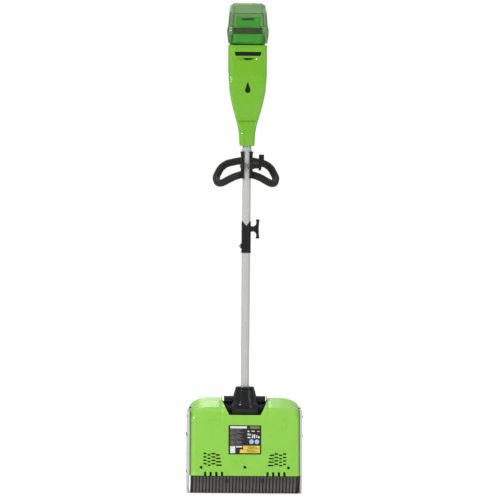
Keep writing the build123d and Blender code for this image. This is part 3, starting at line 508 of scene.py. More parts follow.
def open_line(points, radii, spacing):
    """An open line of (a, b) points with arcs at its inner corners, cut into short runs."""
    dense = [Vector(points[0])]
    for before, corner, after, radius in zip(points, points[1:], points[2:], radii):
        dense += corner_arc(before, corner, after, radius, spacing=spacing)
    dense.append(Vector(points[-1]))
    line = [dense[0]]
    for point in dense[1:]:
        start, run = line[-1], point - line[-1]
        count = max(1, round(run.length / spacing))
        line.extend([start + run * (step + 1) / count for step in range(count)])
    return [tuple(point) for point in line]


def lathe(profile, axis, centre, steps=48, closed=False):
    """Turns a (radius, along) profile about an axis through a centre; radius 0 closes an end."""
    across = {"X": lambda along, a, b: (along, b, a), "Z": lambda along, a, b: (b, a, along)}[axis]
    points, faces, rings = [], [], []
    for radius, along in profile:
        count = 1 if radius < 1e-6 else steps
        ring = []
        for step in range(count):
            turn = 2 * math.pi * step / steps
            x, y, z = across(along, radius * math.sin(turn), radius * math.cos(turn))
            ring.append(len(points))
            points.append((x + centre[0], y + centre[1], z + centre[2]))
        rings.append(ring)
    pairs = list(zip(rings, rings[1:])) + ([(rings[-1], rings[0])] if closed else [])
    for near, far in pairs:
        for step in range(steps):
            quad = [near[step % len(near)], near[(step + 1) % len(near)], far[(step + 1) % len(far)],
                    far[step % len(far)]]
            quad = list(dict.fromkeys(quad))
            if len(quad) > 2:
                faces.append(tuple(quad))
    return points, faces


def cut(piece, shape):
    """Cuts a shape, or a ready tool object, out of a piece."""
    tool = shape if isinstance(shape, bpy.types.Object) else new_object("tool", *shape)
    change = piece.modifiers.new("Change", "BOOLEAN")
    change.operation = "DIFFERENCE"
    change.solver = "EXACT"
    change.object = tool
    plain(piece)
    bpy.data.objects.remove(tool)


def bore(piece, axis, centre, radius, low, high, steps=24):
    """Drills a round hole along an axis."""
    cut(piece, lathe([(0, low), (radius, low), (radius, high), (0, high)], axis, centre, steps))


# ---------------- Geometry Nodes ----------------

def modifier_tree(name, inputs):
    """A geometry node tree with named inputs: (name, socket type) pairs after the geometry."""
    tree = bpy.data.node_groups.new(name, "GeometryNodeTree")
    tree.interface.new_socket(name="Geometry", in_out="INPUT", socket_type="NodeSocketGeometry")
    for label, kind in inputs:
        tree.interface.new_socket(name=label, in_out="INPUT", socket_type=kind)
    tree.interface.new_socket(name="Geometry", in_out="OUTPUT", socket_type="NodeSocketGeometry")
    return tree, add(tree, "NodeGroupInput").outputs


def end_tree(tree, instances, material):
    """Ends a tree: instances made real, and the material set."""
    real = add(tree, "GeometryNodeRealizeInstances", [("Geometry", instances)])
    finished = add(tree, "GeometryNodeSetMaterial", [("Geometry", real.outputs[0]), ("Material", material)])
    add(tree, "NodeGroupOutput", [(0, finished.outputs[0])])
    return tree


def row_tree():
    """Repeats a shape along a straight line."""
    tree, given = modifier_tree("Row", [("Count", "NodeSocketInt"), ("First", "NodeSocketVector"),
                                        ("Step", "NodeSocketVector"), ("Material", "NodeSocketMaterial")])
    line = add(tree, "GeometryNodeMeshLine", [("Count", given["Count"]), ("Start Location", given["First"]),
                                              ("Offset", given["Step"])], mode="OFFSET")
    row = add(tree, "GeometryNodeInstanceOnPoints", [("Points", line.outputs[0]),
                                                     ("Instance", given["Geometry"])])
    return end_tree(tree, row.outputs[0], given["Material"])


def places_tree():
    """Sets a shape at each point, turned and stretched by the points' own attributes."""
    tree, given = modifier_tree("Places", [("Shape", "NodeSocketObject"), ("Material", "NodeSocketMaterial")])
    shape = add(tree, "GeometryNodeObjectInfo", [("Object", given["Shape"])])
    turn = add(tree, "GeometryNodeInputNamedAttribute", [("Name", "turn")], data_type="FLOAT_VECTOR")
    size = add(tree, "GeometryNodeInputNamedAttribute", [("Name", "size")], data_type="FLOAT_VECTOR")
    way = add(tree, "FunctionNodeEulerToRotation", [("Euler", turn.outputs["Attribute"])])
    spots = add(tree, "GeometryNodeInstanceOnPoints",
                [("Points", given["Geometry"]), ("Instance", shape.outputs["Geometry"]),
                 ("Rotation", way.outputs[0]), ("Scale", size.outputs["Attribute"])])
    return end_tree(tree, spots.outputs[0], given["Material"])


def set_inputs(piece, tree, **values):
    """Adds a tree to a piece and sets its inputs by their sockets' identifiers."""
    change = piece.modifiers.new(tree.name, "NODES")
    change.node_group = tree
    for item in tree.interface.items_tree:
        if item.in_out == "INPUT" and item.name in values:
            change[item.identifier] = values[item.name]
    return plain(piece)


def row_of(name, shape, count, first, step, slot):
    """A shape repeated along a line, first and step in millimetres."""
    piece = new_object(name, [(x, y - AXIS_Y / MM, z) for x, y, z in shape[0]], shape[1])
    return set_inputs(piece, TREES["row"], Count=count, Step=[s * MM for s in step], Material=FINISH[slot],
                      First=(first[0] * MM, first[1] * MM + AXIS_Y, first[2] * MM))


def at_places(name, shape, places, slot):
    """A shape at each place: (point, Euler turn, size) with the shape drawn about the origin."""
    model = new_object("model", [(x, y - AXIS_Y / MM, z) for x, y, z in shape[0]], shape[1])
    piece = new_object(name, [place[0] for place in places], [], outward=False)
    for key, values in (("turn", [place[1] for place in places]), ("size", [place[2] for place in places])):
        attribute = piece.data.attributes.new(key, "FLOAT_VECTOR", "POINT")
        attribute.data.foreach_set("vector", [number for value in values for number in value])
    set_inputs(piece, TREES["places"], Shape=model, Material=FINISH[slot])
    bpy.data.objects.remove(model)
    return piece


PANEL_LEAN = math.atan2(FOLD[0] - REAR_FOOT[0], FOLD[1] - REAR_FOOT[1])
PANEL_TURN = (math.radians(90) - PANEL_LEAN, 0.0, 0.0)


def panel_y(z):
    """How far back the head's panel is at a height."""
    return REAR_FOOT[0] + (z - REAR_FOOT[1]) * math.tan(PANEL_LEAN)


class PieceOperator:
    """What every piece's operator shares; softened_nodes are rows of what softened() is given."""

    bl_options = {"REGISTER", "UNDO"}
    softened_nodes = ()     # (CAD node, body, slot, edge width, segments)

    def execute(self, context):
        """Builds the pieces, and raises if one can't be made."""
        if not FINISH:
            FINISH.update(make_finishes())
            TREES.update(row=row_tree(), places=places_tree())
        for row in self.softened_nodes:
            softened(*row)
        self.build(context.scene.snow_blower_sizes)
        return {"FINISHED"}

    def build(self, sizes):
        """Makes the pieces that aren't softened CAD nodes; many operators have none."""


# ---------------- head ----------------

def edge_columns():
    """Places across the head, close together where the surface turns down at its sides."""
    side = [COVER_HALF - EDGE_RUN + EDGE_RUN * math.sin(math.radians(step * 9)) for step in range(11)]
    middle = [-COVER_HALF + EDGE_RUN + step * 286 / 96 for step in range(97)]
    return [-x for x in reversed(side[1:])] + middle + side[1:]


def fall(x, y, z):
    """How far a cover's surface lies inside its middle line at a place, and the way that it falls."""
    reach = abs(x)
    edge = max(0.0, (reach - COVER_HALF + EDGE_RUN) / EDGE_RUN)
    crown = max(0.0, (reach - COVER_HALF + CROWN_RUN) / CROWN_RUN)
    share = smoothstep(222, 266, z)
    drop = (1 - share) * EDGE_DROP * (1 - math.sqrt(max(0.0, 1 - edge * edge)))
    drop += share * CROWN_DROP * (1 - math.sqrt(max(0.0, 1 - crown * crown)))
    way = Vector((60.0 - y, min(0.0, 150.0 - z)))
    if y > 60:
        way = Vector((60.0 - y, min(-0.001, 150.0 - z)))
    return drop, way.normalized()


def cover_sheet(name, line, lift):
    """A head cover's skin over a side-view line, crowned and falling at its sides; lift raises parts."""
    columns = edge_columns()
    points = []
    for y, z in line:
        row = []
        for x in columns:
            drop, way = fall(x, y, z)
            drop -= lift(x, y, z)
            row.append((x, y + way.x * drop, z + way.y * drop))
        for depth in (4.0, 8.0):
            for end, x in ((0, -COVER_HALF), (-1, COVER_HALF)):
                drop, way = fall(x, y, z)
                corner = (x, y + way.x * (drop + depth), z + way.y * (drop + depth))
                if end == 0:
                    row.insert(0, corner)
                else:
                    row.append(corner)
        points.extend(row)
    return skin(name, points, len(columns) + 4, len(line) // 3, (0, AXIS_Y + 0.03, 0.15), COVER_WALL)


def neck_opening(low, high):
    """The tool that cuts the neck's opening, with its top corners rolled outwards."""
    right = [(46.7, 235.0), (60.6, 261.4), (66.5, 272.5), (68.5, 277.5), (69.3, 281.0), (71.5, 284.5),
             (75.0, 287.3), (82.0, 289.5), (82.0, 320.0)]
    outline = right + [(-x, z) for x, z in reversed(right)]
    return prism(outline, "Y", low, high)


def seam_point():
    """Where the two covers meet on the top slope."""
    run = (CREST[1] - FOLD[1]) / (CREST[0] - FOLD[0])
    return (SEAM_Y, FOLD[1] + (SEAM_Y - FOLD[0]) * run)


def pill(width, height, steps=8):
    """A slot outline with round ends, in (x, y)."""
    radius = height / 2
    outline = []
    for side, start in ((1, -90), (-1, 90)):
        for step in range(steps + 1):
            turn = math.radians(start + 180 * step / steps)
            outline.append((side * (width / 2 - radius) + radius * math.cos(turn), radius * math.sin(turn)))
    return outline


def flared(outline, depth, rim):
    """A cutter with a flared mouth: the outline goes down along -Z, and opens out over its last stretch."""
    rings = [(-depth, 0.0), (-rim, 0.0), (0.2, rim + 0.2), (3.0, rim + 0.2)]
    points, faces, count = [], [], len(outline)
    for z, grow in rings:
        for a, b in outline:
            length = math.hypot(a, b)
            points.append((a + grow * a / length, b + grow * b / length, z))
    for ring in range(len(rings) - 1):
        for i in range(count):
            j = (i + 1) % count
            faces.append((ring * count + i, ring * count + j, (ring + 1) * count + j, (ring + 1) * count + i))
    faces.append(tuple(range(count)))
    faces.append(tuple(range(4 * count - 1, 3 * count - 1, -1)))
    return points, faces


class RearCover(PieceOperator, bpy.types.Operator):
    """Green back cover with its fold, raised middle, vents and the opening for the neck"""

    bl_idname = "snow_blower.rear_cover"
    bl_label = "Rear cover"

    def build(self, sizes):
        line = open_line([REAR_FOOT, FOLD, seam_point()], [20.0], 2.6)
        line[-1] = (line[-1][0] - 0.3, line[-1][1] - 0.1)

        def lift(x, y, z):
            pad = 2.4 * smoothstep(71, 65, abs(x)) * smoothstep(200, 240, z)
            pad -= 1.0 * math.exp(-((abs(x) - 71) / 2.6) ** 2) * smoothstep(200, 236, z)
            foot = 0.5 * smoothstep(66, 59, z)
            groove = -1.0 * smoothstep(3.2, 1.2, abs(x)) * smoothstep(84, 88, z) * smoothstep(116, 110, z)
            return pad + foot + groove

        cover = cover_sheet("rear_cover_shell", line, lift)
        cut(cover, neck_opening(-70, 130))
        slots = []
        for side in (-1, 1):
            for row in range(4):
                for x, width, rise in ((119, 9.3, 0), (107, 8.7, -4), (94, 12, 0),
                                       (81 - row * 1.2, 13 + row * 1.5, -4)):
                    z = 121 - 10 * row + rise
                    slots.append(((side * x, panel_y(z), z), PANEL_TURN, ((width + 1) / 10, 1.0, 1.0)))
        cut(cover, at_places("vents", flared(pill(10, 4.6), 8, 0.5), slots, "green_abs"))
        feet = [((side * x, panel_y(61), 61), PANEL_TURN, ONE) for side in (-1, 1)
                for x in (68, 85, 102, 118.5)]
        mouth = rounded([(-3.2, -7), (3.2, -7), (3.2, 7), (-3.2, 7)], [0.5, 0.5, 2.6, 2.6], 4)
        cut(cover, at_places("foot_slots", flared(mouth, 8, 0.5), feet, "green_abs"))
        wells = [((x, panel_y(z), z), PANEL_TURN, ONE) for x, z in COVER_SCREWS]
        cut(cover, at_places("wells", flared(pill(9.2, 9.199), 1.6, 0.5), wells, "green_abs"))
        dress(cover, "head", "green_abs", "rear_cover", crease=32)


class FrontHood(PieceOperator, bpy.types.Operator):
    """Green front hood with its brow and the lip over the rotor's mouth"""

    bl_idname = "snow_blower.front_hood"
    bl_label = "Front hood"

    def build(self, sizes):
        line = open_line([seam_point(), CREST, BROW, LIP], [24.0, 10.0], 2.6)
        line[0] = (line[0][0] + 0.3, line[0][1] + 0.1)
        hood = cover_sheet("front_hood_shell", line, lambda x, y, z: 1.8 * smoothstep(72, 64, abs(x))
                           * smoothstep(198, 246, z))
        cut(hood, neck_opening(-70, 130))
        dress(hood, "head", "green_abs", "front_hood", crease=32)


PLATE = [((-89, 57), 4), ((-32, 0), 10), ((48, 0), 60), ((112, 44), 50), ((112, 184), 24), ((74, 248), 30),
         ((-41, 248), 12)]


class SidePlates(PieceOperator, bpy.types.Operator):
    """Light-grey side plates with a raised rim, ribs and a hub, and the wall round the belt"""

    bl_idname = "snow_blower.side_plates"
    bl_label = "Side plates"

    def build(self, sizes):
        outline = rounded([c for c, _ in PLATE], [r for _, r in PLATE], 10)
        centre = Vector((14, 118))
        field = []
        for point in outline:
            spoke = Vector(point) - centre
            field.append(tuple(centre + spoke * (1 - 11 / spoke.length)))
        for side, node in ((-1, "side_plate_left"), (1, "side_plate_right")):
            low, high = sorted((side * PLATE_BACK, side * PLATE_FACE))
            plate = new_object(node + "_piece", *prism(outline, "X", low, high))
            soften(plate, 1.6, 3, 40)
            pocket = new_object("pocket", *prism(field, "X", *sorted((side * 170.0, side * 175.0))))
            for y0, y1 in ((-38, -33), (-4, 1), (33, 38), (68, 73)):
                cut(pocket, block(*sorted((side * 160, side * 180)), y0, y1, -10, 290))
            cut(pocket, prism([(-100, 150), (120, 118), (120, 122), (-100, 154)], "X",
                              *sorted((side * 160, side * 180))))
            bore(pocket, "X", (0, ROTOR_Y, ROTOR_Z), 30, side * 160, side * 180, 48)
            cut(plate, pocket)
            if side < 0:
                bore(plate, "X", (0, ROTOR_Y, ROTOR_Z), 11, -180, -160, 48)
            for y, z in PLATE_SCREWS:
                bore(plate, "X", (0, y, z), 2.1, side * 160, side * 180)
            soften(plate, 0.5, 2, 50)
            dress(plate, "head", "light_grey_plate", node)
        softened("belt_cover", "head", "light_grey_plate", 0.5)


class Scraper(PieceOperator, bpy.types.Operator):
    """Wear bar along the foot, with its row of ribs and its fixing pockets"""

    bl_idname = "snow_blower.scraper"
    bl_label = "Scraper"

    def build(self, sizes):
        arc = []
        for step in range(9):
            turn = math.radians(236 - 33 * step / 8)
            arc.append((ROTOR_Y + 81.2 * math.cos(turn), ROTOR_Z + 81.2 * math.sin(turn)))
        face = 3.0 / math.sqrt(2)
        outline = [(-88 + 2 * face, 54.0), (-32 + face, 0.0), (-26, 0.0), (-27, 8)] + arc
        bar = new_object("scraper_bar", *prism(outline, "X", -162, 162))
        soften(bar, 0.8, 2, 40)
        half = sizes.scraper_rib / 2
        slope = [(-85.6, 54.0), (-77, 54.0), (-24.5, 0.3), (-31.2, 0.3)]
        rib = new_object("rib", *prism(slope, "X", -half, half))
        soften(rib, 0.9, 2, 30)
        shape = ([tuple((v.co.x / MM, (v.co.y - AXIS_Y) / MM, v.co.z / MM)) for v in rib.data.vertices],
                 [tuple(p.vertices) for p in rib.data.polygons])
        bpy.data.objects.remove(rib)
        count = 2 * int(158.5 // sizes.scraper_pitch) + 1
        first = (-(count - 1) / 2 * sizes.scraper_pitch, 0, 0)
        ribs = row_of("scraper_ribs", shape, count, first, (sizes.scraper_pitch, 0, 0), "rib_nylon")
        for x in (-158, -54, 54, 158):
            pocket = prism([(-80, 44), (-60, 52), (-48, 40), (-68, 30)], "X", x - 4, x + 4)
            cut(ribs, pocket)
        dress(bar, "head", "dark_nylon", "scraper")
        # the ribs are the bar's nylon, dressed in its paler copy: a painted highlight on the ridges
        dress(ribs, "head", "dark_nylon", finish="rib_nylon")


class RatingLabel(PieceOperator, bpy.types.Operator):
    """Rating label with plain printed fields and no wording"""

    bl_idname = "snow_blower.rating_label"
    bl_label = "Rating label"

    def build(self, sizes):
        def tile(x0, x1, z0, z1, low, high, radius=0.6):
            face = rounded([(x0, z0), (x1, z0), (x1, z1), (x0, z1)], radius, 3)
            points = [(x, panel_y(z) - depth, z + depth * math.tan(PANEL_LEAN)) for depth in (low, high)
                      for x, z in face]
            return points, between_rings(len(face))

        inks = {"label": [tile(-49, 49, 119, 205, 0.0, 0.35, 2.5)], "ink_white": [], "ink_grey": [],
                "ink_khaki": [], "ink_blue": [], "ink_yellow": []}

        def printed_tile(ink, x0, x1, z0, z1, radius=0.6, proud=0.45):
            inks[ink].append(tile(x0, x1, z0, z1, 0.3, proud, radius))

        printed_tile("ink_white", -44, 6, 195.5, 202)
        printed_tile("ink_khaki", 15, 44, 195, 202)
        for row in range(13):
            z = 190.5 - row * 3.8
            length = (36, 30, 39, 22, 33)[row % 5]
            printed_tile("ink_grey", -44, -44 + length * 0.45, z, z + 1.8, 0.3)
            printed_tile("ink_grey", -42 + length * 0.45, -44 + length, z, z + 1.8, 0.3)
        for field in ((8, 13, 185, 189), (20, 29, 186, 189), (37, 44, 186, 188), (8, 11.5, 175, 181),
                      (13, 17, 175, 180), (8, 17, 167, 170.5), (21, 24, 167, 178), (26, 31, 167, 178),
                      (34, 37, 168, 176), (39, 44, 167, 173)):
            printed_tile("ink_white", *field, 0.8)
        for x in (20, 36):
            printed_tile("ink_blue", x - 7, x + 7, 149.5, 163.5, 6.9)
        printed_tile("ink_yellow", -5, 45, 134, 144.5, 1.0)
        printed_tile("ink_yellow", -15, 45, 123, 133.4, 1.0)
        printed_tile("ink_white", -44, -29, 122.5, 143, 0.8)
        printed_tile("ink_white", -27, -8, 139.5, 143)
        for row in range(3):
            printed_tile("label", 4, 40 - row * 6, 125.5 + row * 2.6, 126.5 + row * 2.6, 0.3, 0.49)
            printed_tile("label", 8, 41 - row * 6, 136.0 + row * 2.6, 137.0 + row * 2.6, 0.3, 0.49)
        for slot, tiles in inks.items():
            part = new_object("label_" + slot, *join_shapes(*tiles))
            dress(part, "head", "label", *(["rating_label"] if slot == "label" else []), finish=slot)


# ---------------- neck and tubes ----------------

class Neck(PieceOperator, bpy.types.Operator):
    """Glossy black funnel that holds the tube, its block, barrels and the lining of the opening"""

    bl_idname = "snow_blower.neck"
    bl_label = "Neck"

    def build(self, sizes):
        softened("neck_bracket", "head", "gloss_black", 0.8, 2)
        funnel = [(12.55, 245), (43.5, 245), (45.0, 252), (44.2, 262), (42.0, 267), (41.4, 269.6),
                  (39.8, 271.0), (39.2, 273.0), (38.0, 277), (34.8, 290), (31.8, 302), (30.2, 308.2),
                  (29.8, 309.4), (28.4, 310.2), (28.2, 311.0), (28.9, 312.0), (28.9, 314.6), (28.0, 316.8),
                  (26.0, 318.4), (24.0, 318.6), (17.0, 317.8), (15.2, 317.0), (13.8, 316.0), (12.7, 314.8)]
        cone = new_object("neck_funnel", *lathe(funnel, "Z", (0, 0, 0), 72, closed=True))
        dress(cone, "head", "gloss_black", crease=28)
        base = rounded([(-43, -36), (43, -36), (43, 40), (-43, 40)], 9, 6)
        foot = new_object("neck_block", *prism(base, "Z", 237, 266))
        bore(foot, "Z", (0, 0, 0), 30, 200, 300, 48)
        soften(foot, 3.0, 4, 40)
        dress(foot, "head", "gloss_black", "neck_socket")
        for side in (-1, 1):
            profile = [(0, 30), (12.0, 30), (13.0, 31.2), (13.0, 50), (12.2, 51), (12.2, 52.5), (13.0, 53.5),
                       (13.0, 60.5), (12.0, 62), (8.5, 62), (8.0, 61), (8.0, 57), (0, 57)]
            barrel = new_object(f"neck_barrel_{'left' if side < 0 else 'right'}",
                                *lathe([(r, side * a) for r, a in profile], "X", (0, 14, 277), 48))
            dress(barrel, "head", "gloss_black")
            web = [(3, 277), (25, 277), (29, 237.2), (-1, 237.2)]
            strut = new_object(f"neck_web_{'left' if side < 0 else 'right'}",
                               *prism(web, "X", side * 46 - 2.2, side * 46 + 2.2))
            soften(strut, 0.8, 2)
            dress(strut, "head", "gloss_black")
            facet = [(41, 243), (52, 246), (63, 264), (61, 268), (43, 263)]
            wedge = new_object(f"neck_facet_{'left' if side < 0 else 'right'}",
                               *prism([(side * a, b) for a, b in facet], "Y", -30, -6))
            for vertex in wedge.data.vertices:
                if vertex.co.y < AXIS_Y - 20 * MM:
                    vertex.co.y += (abs(vertex.co.x) - 41 * MM) * 0.55 + (vertex.co.z - 243 * MM) * 0.35
            soften(wedge, 0.8, 2)
            dress(wedge, "head", "gloss_black")


def pipe(name, low, high, outer, inner, edge=0.4):
    """A round pipe along the tube's axis with dressed ends."""
    profile = [(outer - edge, low), (outer, low + edge), (outer, (low + high) / 2), (outer, high - edge),
               (outer - edge, high), (inner + 0.2, high), (inner, high - 0.3),
               (inner, low + 0.3), (inner + 0.2, low)]
    return new_object(name, *lathe(profile, "Z", (0, 0, 0), 64, closed=True))


class Tubes(PieceOperator, bpy.types.Operator):
    """Painted tubes with their dressed ends and snap-button holes"""

    bl_idname = "snow_blower.tubes"
    bl_label = "Tubes"

    def build(self, sizes):
        lower = pipe("lower_tube_pipe", 245, 765, TUBE_R, TUBE_R - 1.2)
        bore(lower, "X", (0, 0, SNAP_Z), 4.6, -20, 0)
        dress(lower, "head", "painted_tube", "lower_tube")
        spigot = TUBE_R - 1.25
        profile = [(TUBE_R - 0.4, 765.5), (TUBE_R, 765.9), (TUBE_R, 1127.6), (TUBE_R - 0.4, 1128),
                   (9.85, 1128), (9.85, 708), (spigot - 0.6, 708), (spigot, 709), (spigot, 765.5)]
        upper = new_object("upper_tube_pipe", *lathe(profile, "Z", (0, 0, 0), 64, closed=True))
        bore(upper, "X", (0, 0, SNAP_Z), 4.6, -20, 0)
        dress(upper, "upper_shaft", "painted_tube", "upper_tube")


class Coupler(PieceOperator, bpy.types.Operator):
    """Coupler between the tubes with its wing knob and snap button"""

    bl_idname = "snow_blower.coupler"
    bl_label = "Coupler"
    softened_nodes = (("coupler", "head", "black_nylon", 0.7),
                      ("coupler_knob", "coupler_knob", "black_nylon", 1.2, 3),
                      ("snap_button", "snap_button", "steel", 0.6, 3))


class FrontHandle(PieceOperator, bpy.types.Operator):
    """Loop handle with its clamp, sleeve, bolt and wing knob"""

    bl_idname = "snow_blower.front_handle"
    bl_label = "Front handle"
    softened_nodes = (("aux_sleeve", "aux_sleeve", "painted_tube", 0.6),
                      ("aux_saddle", "aux_handle", "black_nylon", 0.9),
                      ("aux_bolt", "aux_handle", "zinc_bolt", 0.6),
                      ("aux_knob", "aux_knob", "black_nylon", 1.2, 3))

    def build(self, sizes):
        dress(copy_of("aux_loop"), "aux_handle", "black_grip", "aux_loop", crease=50)


# ---------------- rear handle ----------------

# height, half width, depth behind the tube's axis
BACK_STATIONS = [(1040, 20.0, 20.0), (1043, 22.4, 22.4), (1050, 23.0, 23.0), (1066, 23.6, 24.6),
                 (1076, 24.0, 25.8), (1079, 24.3, 24.6), (1098, 27.8, 21.6), (1114, 32.2, 24.0),
                 (1117, 33.2, 30.0), (1124, 34.8, 31.6), (1160, 45.0, 37.0), (1200, 53.0, 41.0),
                 (1230, 55.5, 43.6), (1249, 56.8, 38.2), (1256, 57.0, 38.6), (1342, 57.0, 38.6)]


def station(z):
    """Half width and back depth of the rear handle at a height, eased between its stations."""
    for (z0, a0, b0), (z1, a1, b1) in zip(BACK_STATIONS, BACK_STATIONS[1:]):
        if z <= z1:
            t = (z - z0) / (z1 - z0)
            return a0 + (a1 - a0) * t, b0 + (b1 - b0) * t
    return BACK_STATIONS[-1][1:]


def slot_gap(x, z):
    """Distance outside the finger slot's outline, negative inside it; the rim is wider above."""
    half = SLOT_HALF + SLOT_FLARE * (z - SLOT_LOW) / (SLOT_TOP - SLOT_LOW)
    return max(abs(x) - half, SLOT_LOW - z, (z - SLOT_TOP) * 0.7)


def back_relief(x, z):
    """How far the back of the rear handle stands proud of its plain shape."""
    half, back = station(z)
    proud = 2.6 * smoothstep(7.5, 4.5, slot_gap(x, z))
    scoop = 1 - (x / 29) ** 2 - ((z - 1304) / 12) ** 2
    if z < 1304 and scoop > 0:
        proud -= 5.0 * math.sqrt(scoop)
    if 1043 < z < 1074:
        flute = smoothstep(1043, 1047, z) * smoothstep(1074, 1070, z)
        proud += 0.8 * flute * math.cos(x / 23 * math.pi * 4)
    proud -= 2.2 * math.exp(-((z - 1112.5) / 2.4) ** 2) * smoothstep(half * 0.9, half * 0.82, abs(x))
    rise = smoothstep(1124, 1130, z) * smoothstep(1340, 1334, z)
    proud -= 0.9 * math.exp(-((abs(x) - half + 8) / 1.5) ** 2) * rise
    field = smoothstep(half - 6, half - 9, abs(x)) * smoothstep(1119, 1124, z) * smoothstep(1238, 1228, z)
    proud -= 1.4 * field
    if 1098 < z < 1124:
        border = 22.4 + (z - 1098) * 9.2 / 26 - back
        proud += max(0.0, border) * smoothstep(half * 0.74, half * 0.84, abs(x))
    return proud


class RearShell(PieceOperator, bpy.types.Operator):
    """Green shell on the operator's side of the rear handle, with its finger slot and screw well"""

    bl_idname = "snow_blower.rear_shell"
    bl_label = "Rear shell"

    def build(self, sizes):
        heights = [1040 + step * 302 / 170 for step in range(171)]
        points, radius = [], 11.0
        for z in heights:
            half, back = station(z)
            corner = min(radius, half - 6, back - 6)
            row = [(half, -0.3 - (back - corner - 0.3) * step / 4) for step in range(4)]
            for step in range(9):
                turn = math.radians(step * 90 / 8)
                row.append((half - corner + corner * math.cos(turn),
                            -(back - corner) - corner * math.sin(turn)))
            count = 26
            span = half - corner
            row += [(span - span * 2 * step / count, -back) for step in range(1, count)]
            row += [(-x, y) for x, y in reversed(row[:13])]
            for x, y in row:
                facing = smoothstep(-(back - corner) + 1, -back + 1, y)
                points.append((x, y - facing * back_relief(x, z), z))
        shell = skin("handle_rear_skin", points, len(row), len(heights) // 2, (0, AXIS_Y, 1.2), HANDLE_WALL)
        wide = SLOT_HALF + SLOT_FLARE
        slot = [(-SLOT_HALF, SLOT_LOW), (SLOT_HALF, SLOT_LOW), (wide, SLOT_TOP), (-wide, SLOT_TOP)]
        cut(shell, prism(rounded(slot, 1.5, 4), "Y", -60, -35))
        tear = [(8.5 * math.cos(math.radians(t)), WELL_Z + 8.5 * math.sin(math.radians(t)))
                for t in range(190, 351, 16)]
        tear += [(8.3, WELL_Z + 1.5), (1.2, WELL_Z + 23), (-1.2, WELL_Z + 23), (-8.3, WELL_Z + 1.5)]
        cut(shell, prism(tear, "Y", -60, -36.2))
        dress(shell, "upper_shaft", "green_handle_abs", "handle_rear_shell", crease=34)
        # a black plate on the floor of the screw well: painted shade of the deep well
        plate = rounded([(-12, WELL_Z - 12), (12, WELL_Z - 12), (12, WELL_Z + 26), (-12, WELL_Z + 26)], 2, 3)
        well_shade = new_object("screw_seat", *prism(plate, "Y", -37.0, -35.4))
        dress(well_shade, "upper_shaft", "black_nylon")


class FrontShell(PieceOperator, bpy.types.Operator):
    """Green front shell with the battery bay and the closed hand loop, and its soft ribbed grip"""

    bl_idname = "snow_blower.front_shell"
    bl_label = "Front shell"

    def build(self, sizes):
        softened("handle_front_shell", "upper_shaft", "green_handle_abs", 1.4, 3, angle=35)
        softened("grip_overmould", "upper_shaft", "black_grip", 0.8, 2)
        bar = rounded([(-15, 87.2), (15, 87.2), (15, 88.8), (-15, 88.8)], 0.7, 3)
        count = int(100 // sizes.grip_pitch)
        rib = prism(bar, "Z", -1.4, 1.4)
        ribs = row_of("grip_ribs", rib, count, (0, 0, 1141), (0, 0, sizes.grip_pitch), "black_grip")
        dress(ribs, "upper_shaft", "black_grip")


class Controls(PieceOperator, bpy.types.Operator):
    """Trigger and lock-off button"""

    bl_idname = "snow_blower.controls"
    bl_label = "Controls"
    softened_nodes = (("trigger", "trigger", "trigger_black", 1.6, 3),
                      ("lock_button", "lock_button", "lock_orange", 1.0, 3))


class Battery(PieceOperator, bpy.types.Operator):
    """Battery pack with its band, catch slot and button, in its black liner; a pale lens in the slot is a
    painted highlight
    """

    bl_idname = "snow_blower.battery"
    bl_label = "Battery"
    softened_nodes = (("battery_case", "battery", "battery_green", 0.8),
                      ("battery_band", "battery", "battery_black", 0.8),
                      ("battery_button", "battery_button", "battery_green", 0.8, 3),
                      ("bay_liner", "upper_shaft", "black_nylon", 0.6))

    def build(self, sizes):
        # a pale lens in the battery's black slot: a painted highlight
        half, tall, middle = 14, 2.4, 1419.3
        lens = [(half * math.cos(math.radians(t)), middle + tall * math.sin(math.radians(t)))
                for t in range(0, 360, 15)]
        slot_highlight = new_object("battery_latch", *prism(lens, "Y", -29.0, -27.4))
        dress(slot_highlight, "battery", "battery_black", finish="light_grey_plate")


class Lid(PieceOperator, bpy.types.Operator):
    """Clear green lid with rounded corners over the battery"""

    bl_idname = "snow_blower.lid"
    bl_label = "Battery lid"

    def build(self, sizes):
        softened("battery_lid", "battery_lid", "clear_green", 1.3, 3, crease=30)
        # dark opaque strips along the lid's edges: painted shade standing for the dark look of clear plastic's
        # edges
        levels = ((49.0, 1348, 1.4, -43.9, -42.9), (43.4, 1435.6, 1.4, -43.2, -42.2),
                  (40, 1465.6, 1.2, -10.5, -9.3))
        dark_edge_strips = [prism([(-half, z), (half, z), (half, z + deep), (-half, z + deep)], "Y", near, far)
                 for half, z, deep, near, far in levels]
        for side in (-1, 1):
            upright = [(48.0, 1348), (49.9, 1348), (44.3, 1437), (42.4, 1437)]
            dark_edge_strips.append(prism([(side * x, z) for x, z in upright], "Y", -43.9, -42.7))
            ends = sorted((side * 41.4, side * 42.6))
            dark_edge_strips.append(prism([(-43, 1435), (-42, 1435), (-11.6, 1463.6), (-11.6, 1464.8)], "X", *ends))
        edges = new_object("lid_edges", *join_shapes(*dark_edge_strips))
        dress(edges, "battery_lid", "clear_green", finish="lid_edge")


# ---------------- rotor and drive ----------------

class Rotor(PieceOperator, bpy.types.Operator):
    """Rotor core with its rubber paddles, shaft and driven pulley, in the black housing"""

    bl_idname = "snow_blower.rotor"
    bl_label = "Rotor"
    softened_nodes = (("rotor_paddles", "rotor", "paddle_rubber", 0.8),
                      ("rotor_core", "rotor", "core_nylon", 0.8),
                      ("rotor_shaft", "rotor", "steel", 0.5),
                      ("driven_pulley", "rotor", "pulley_nylon", 0.5),
                      ("rotor_housing", "head", "black_scroll", 0.6),
                      ("rotor_bearings", "head", "steel", 0.5),
                      ("belt_bulkhead", "head", "black_scroll", 0.5))


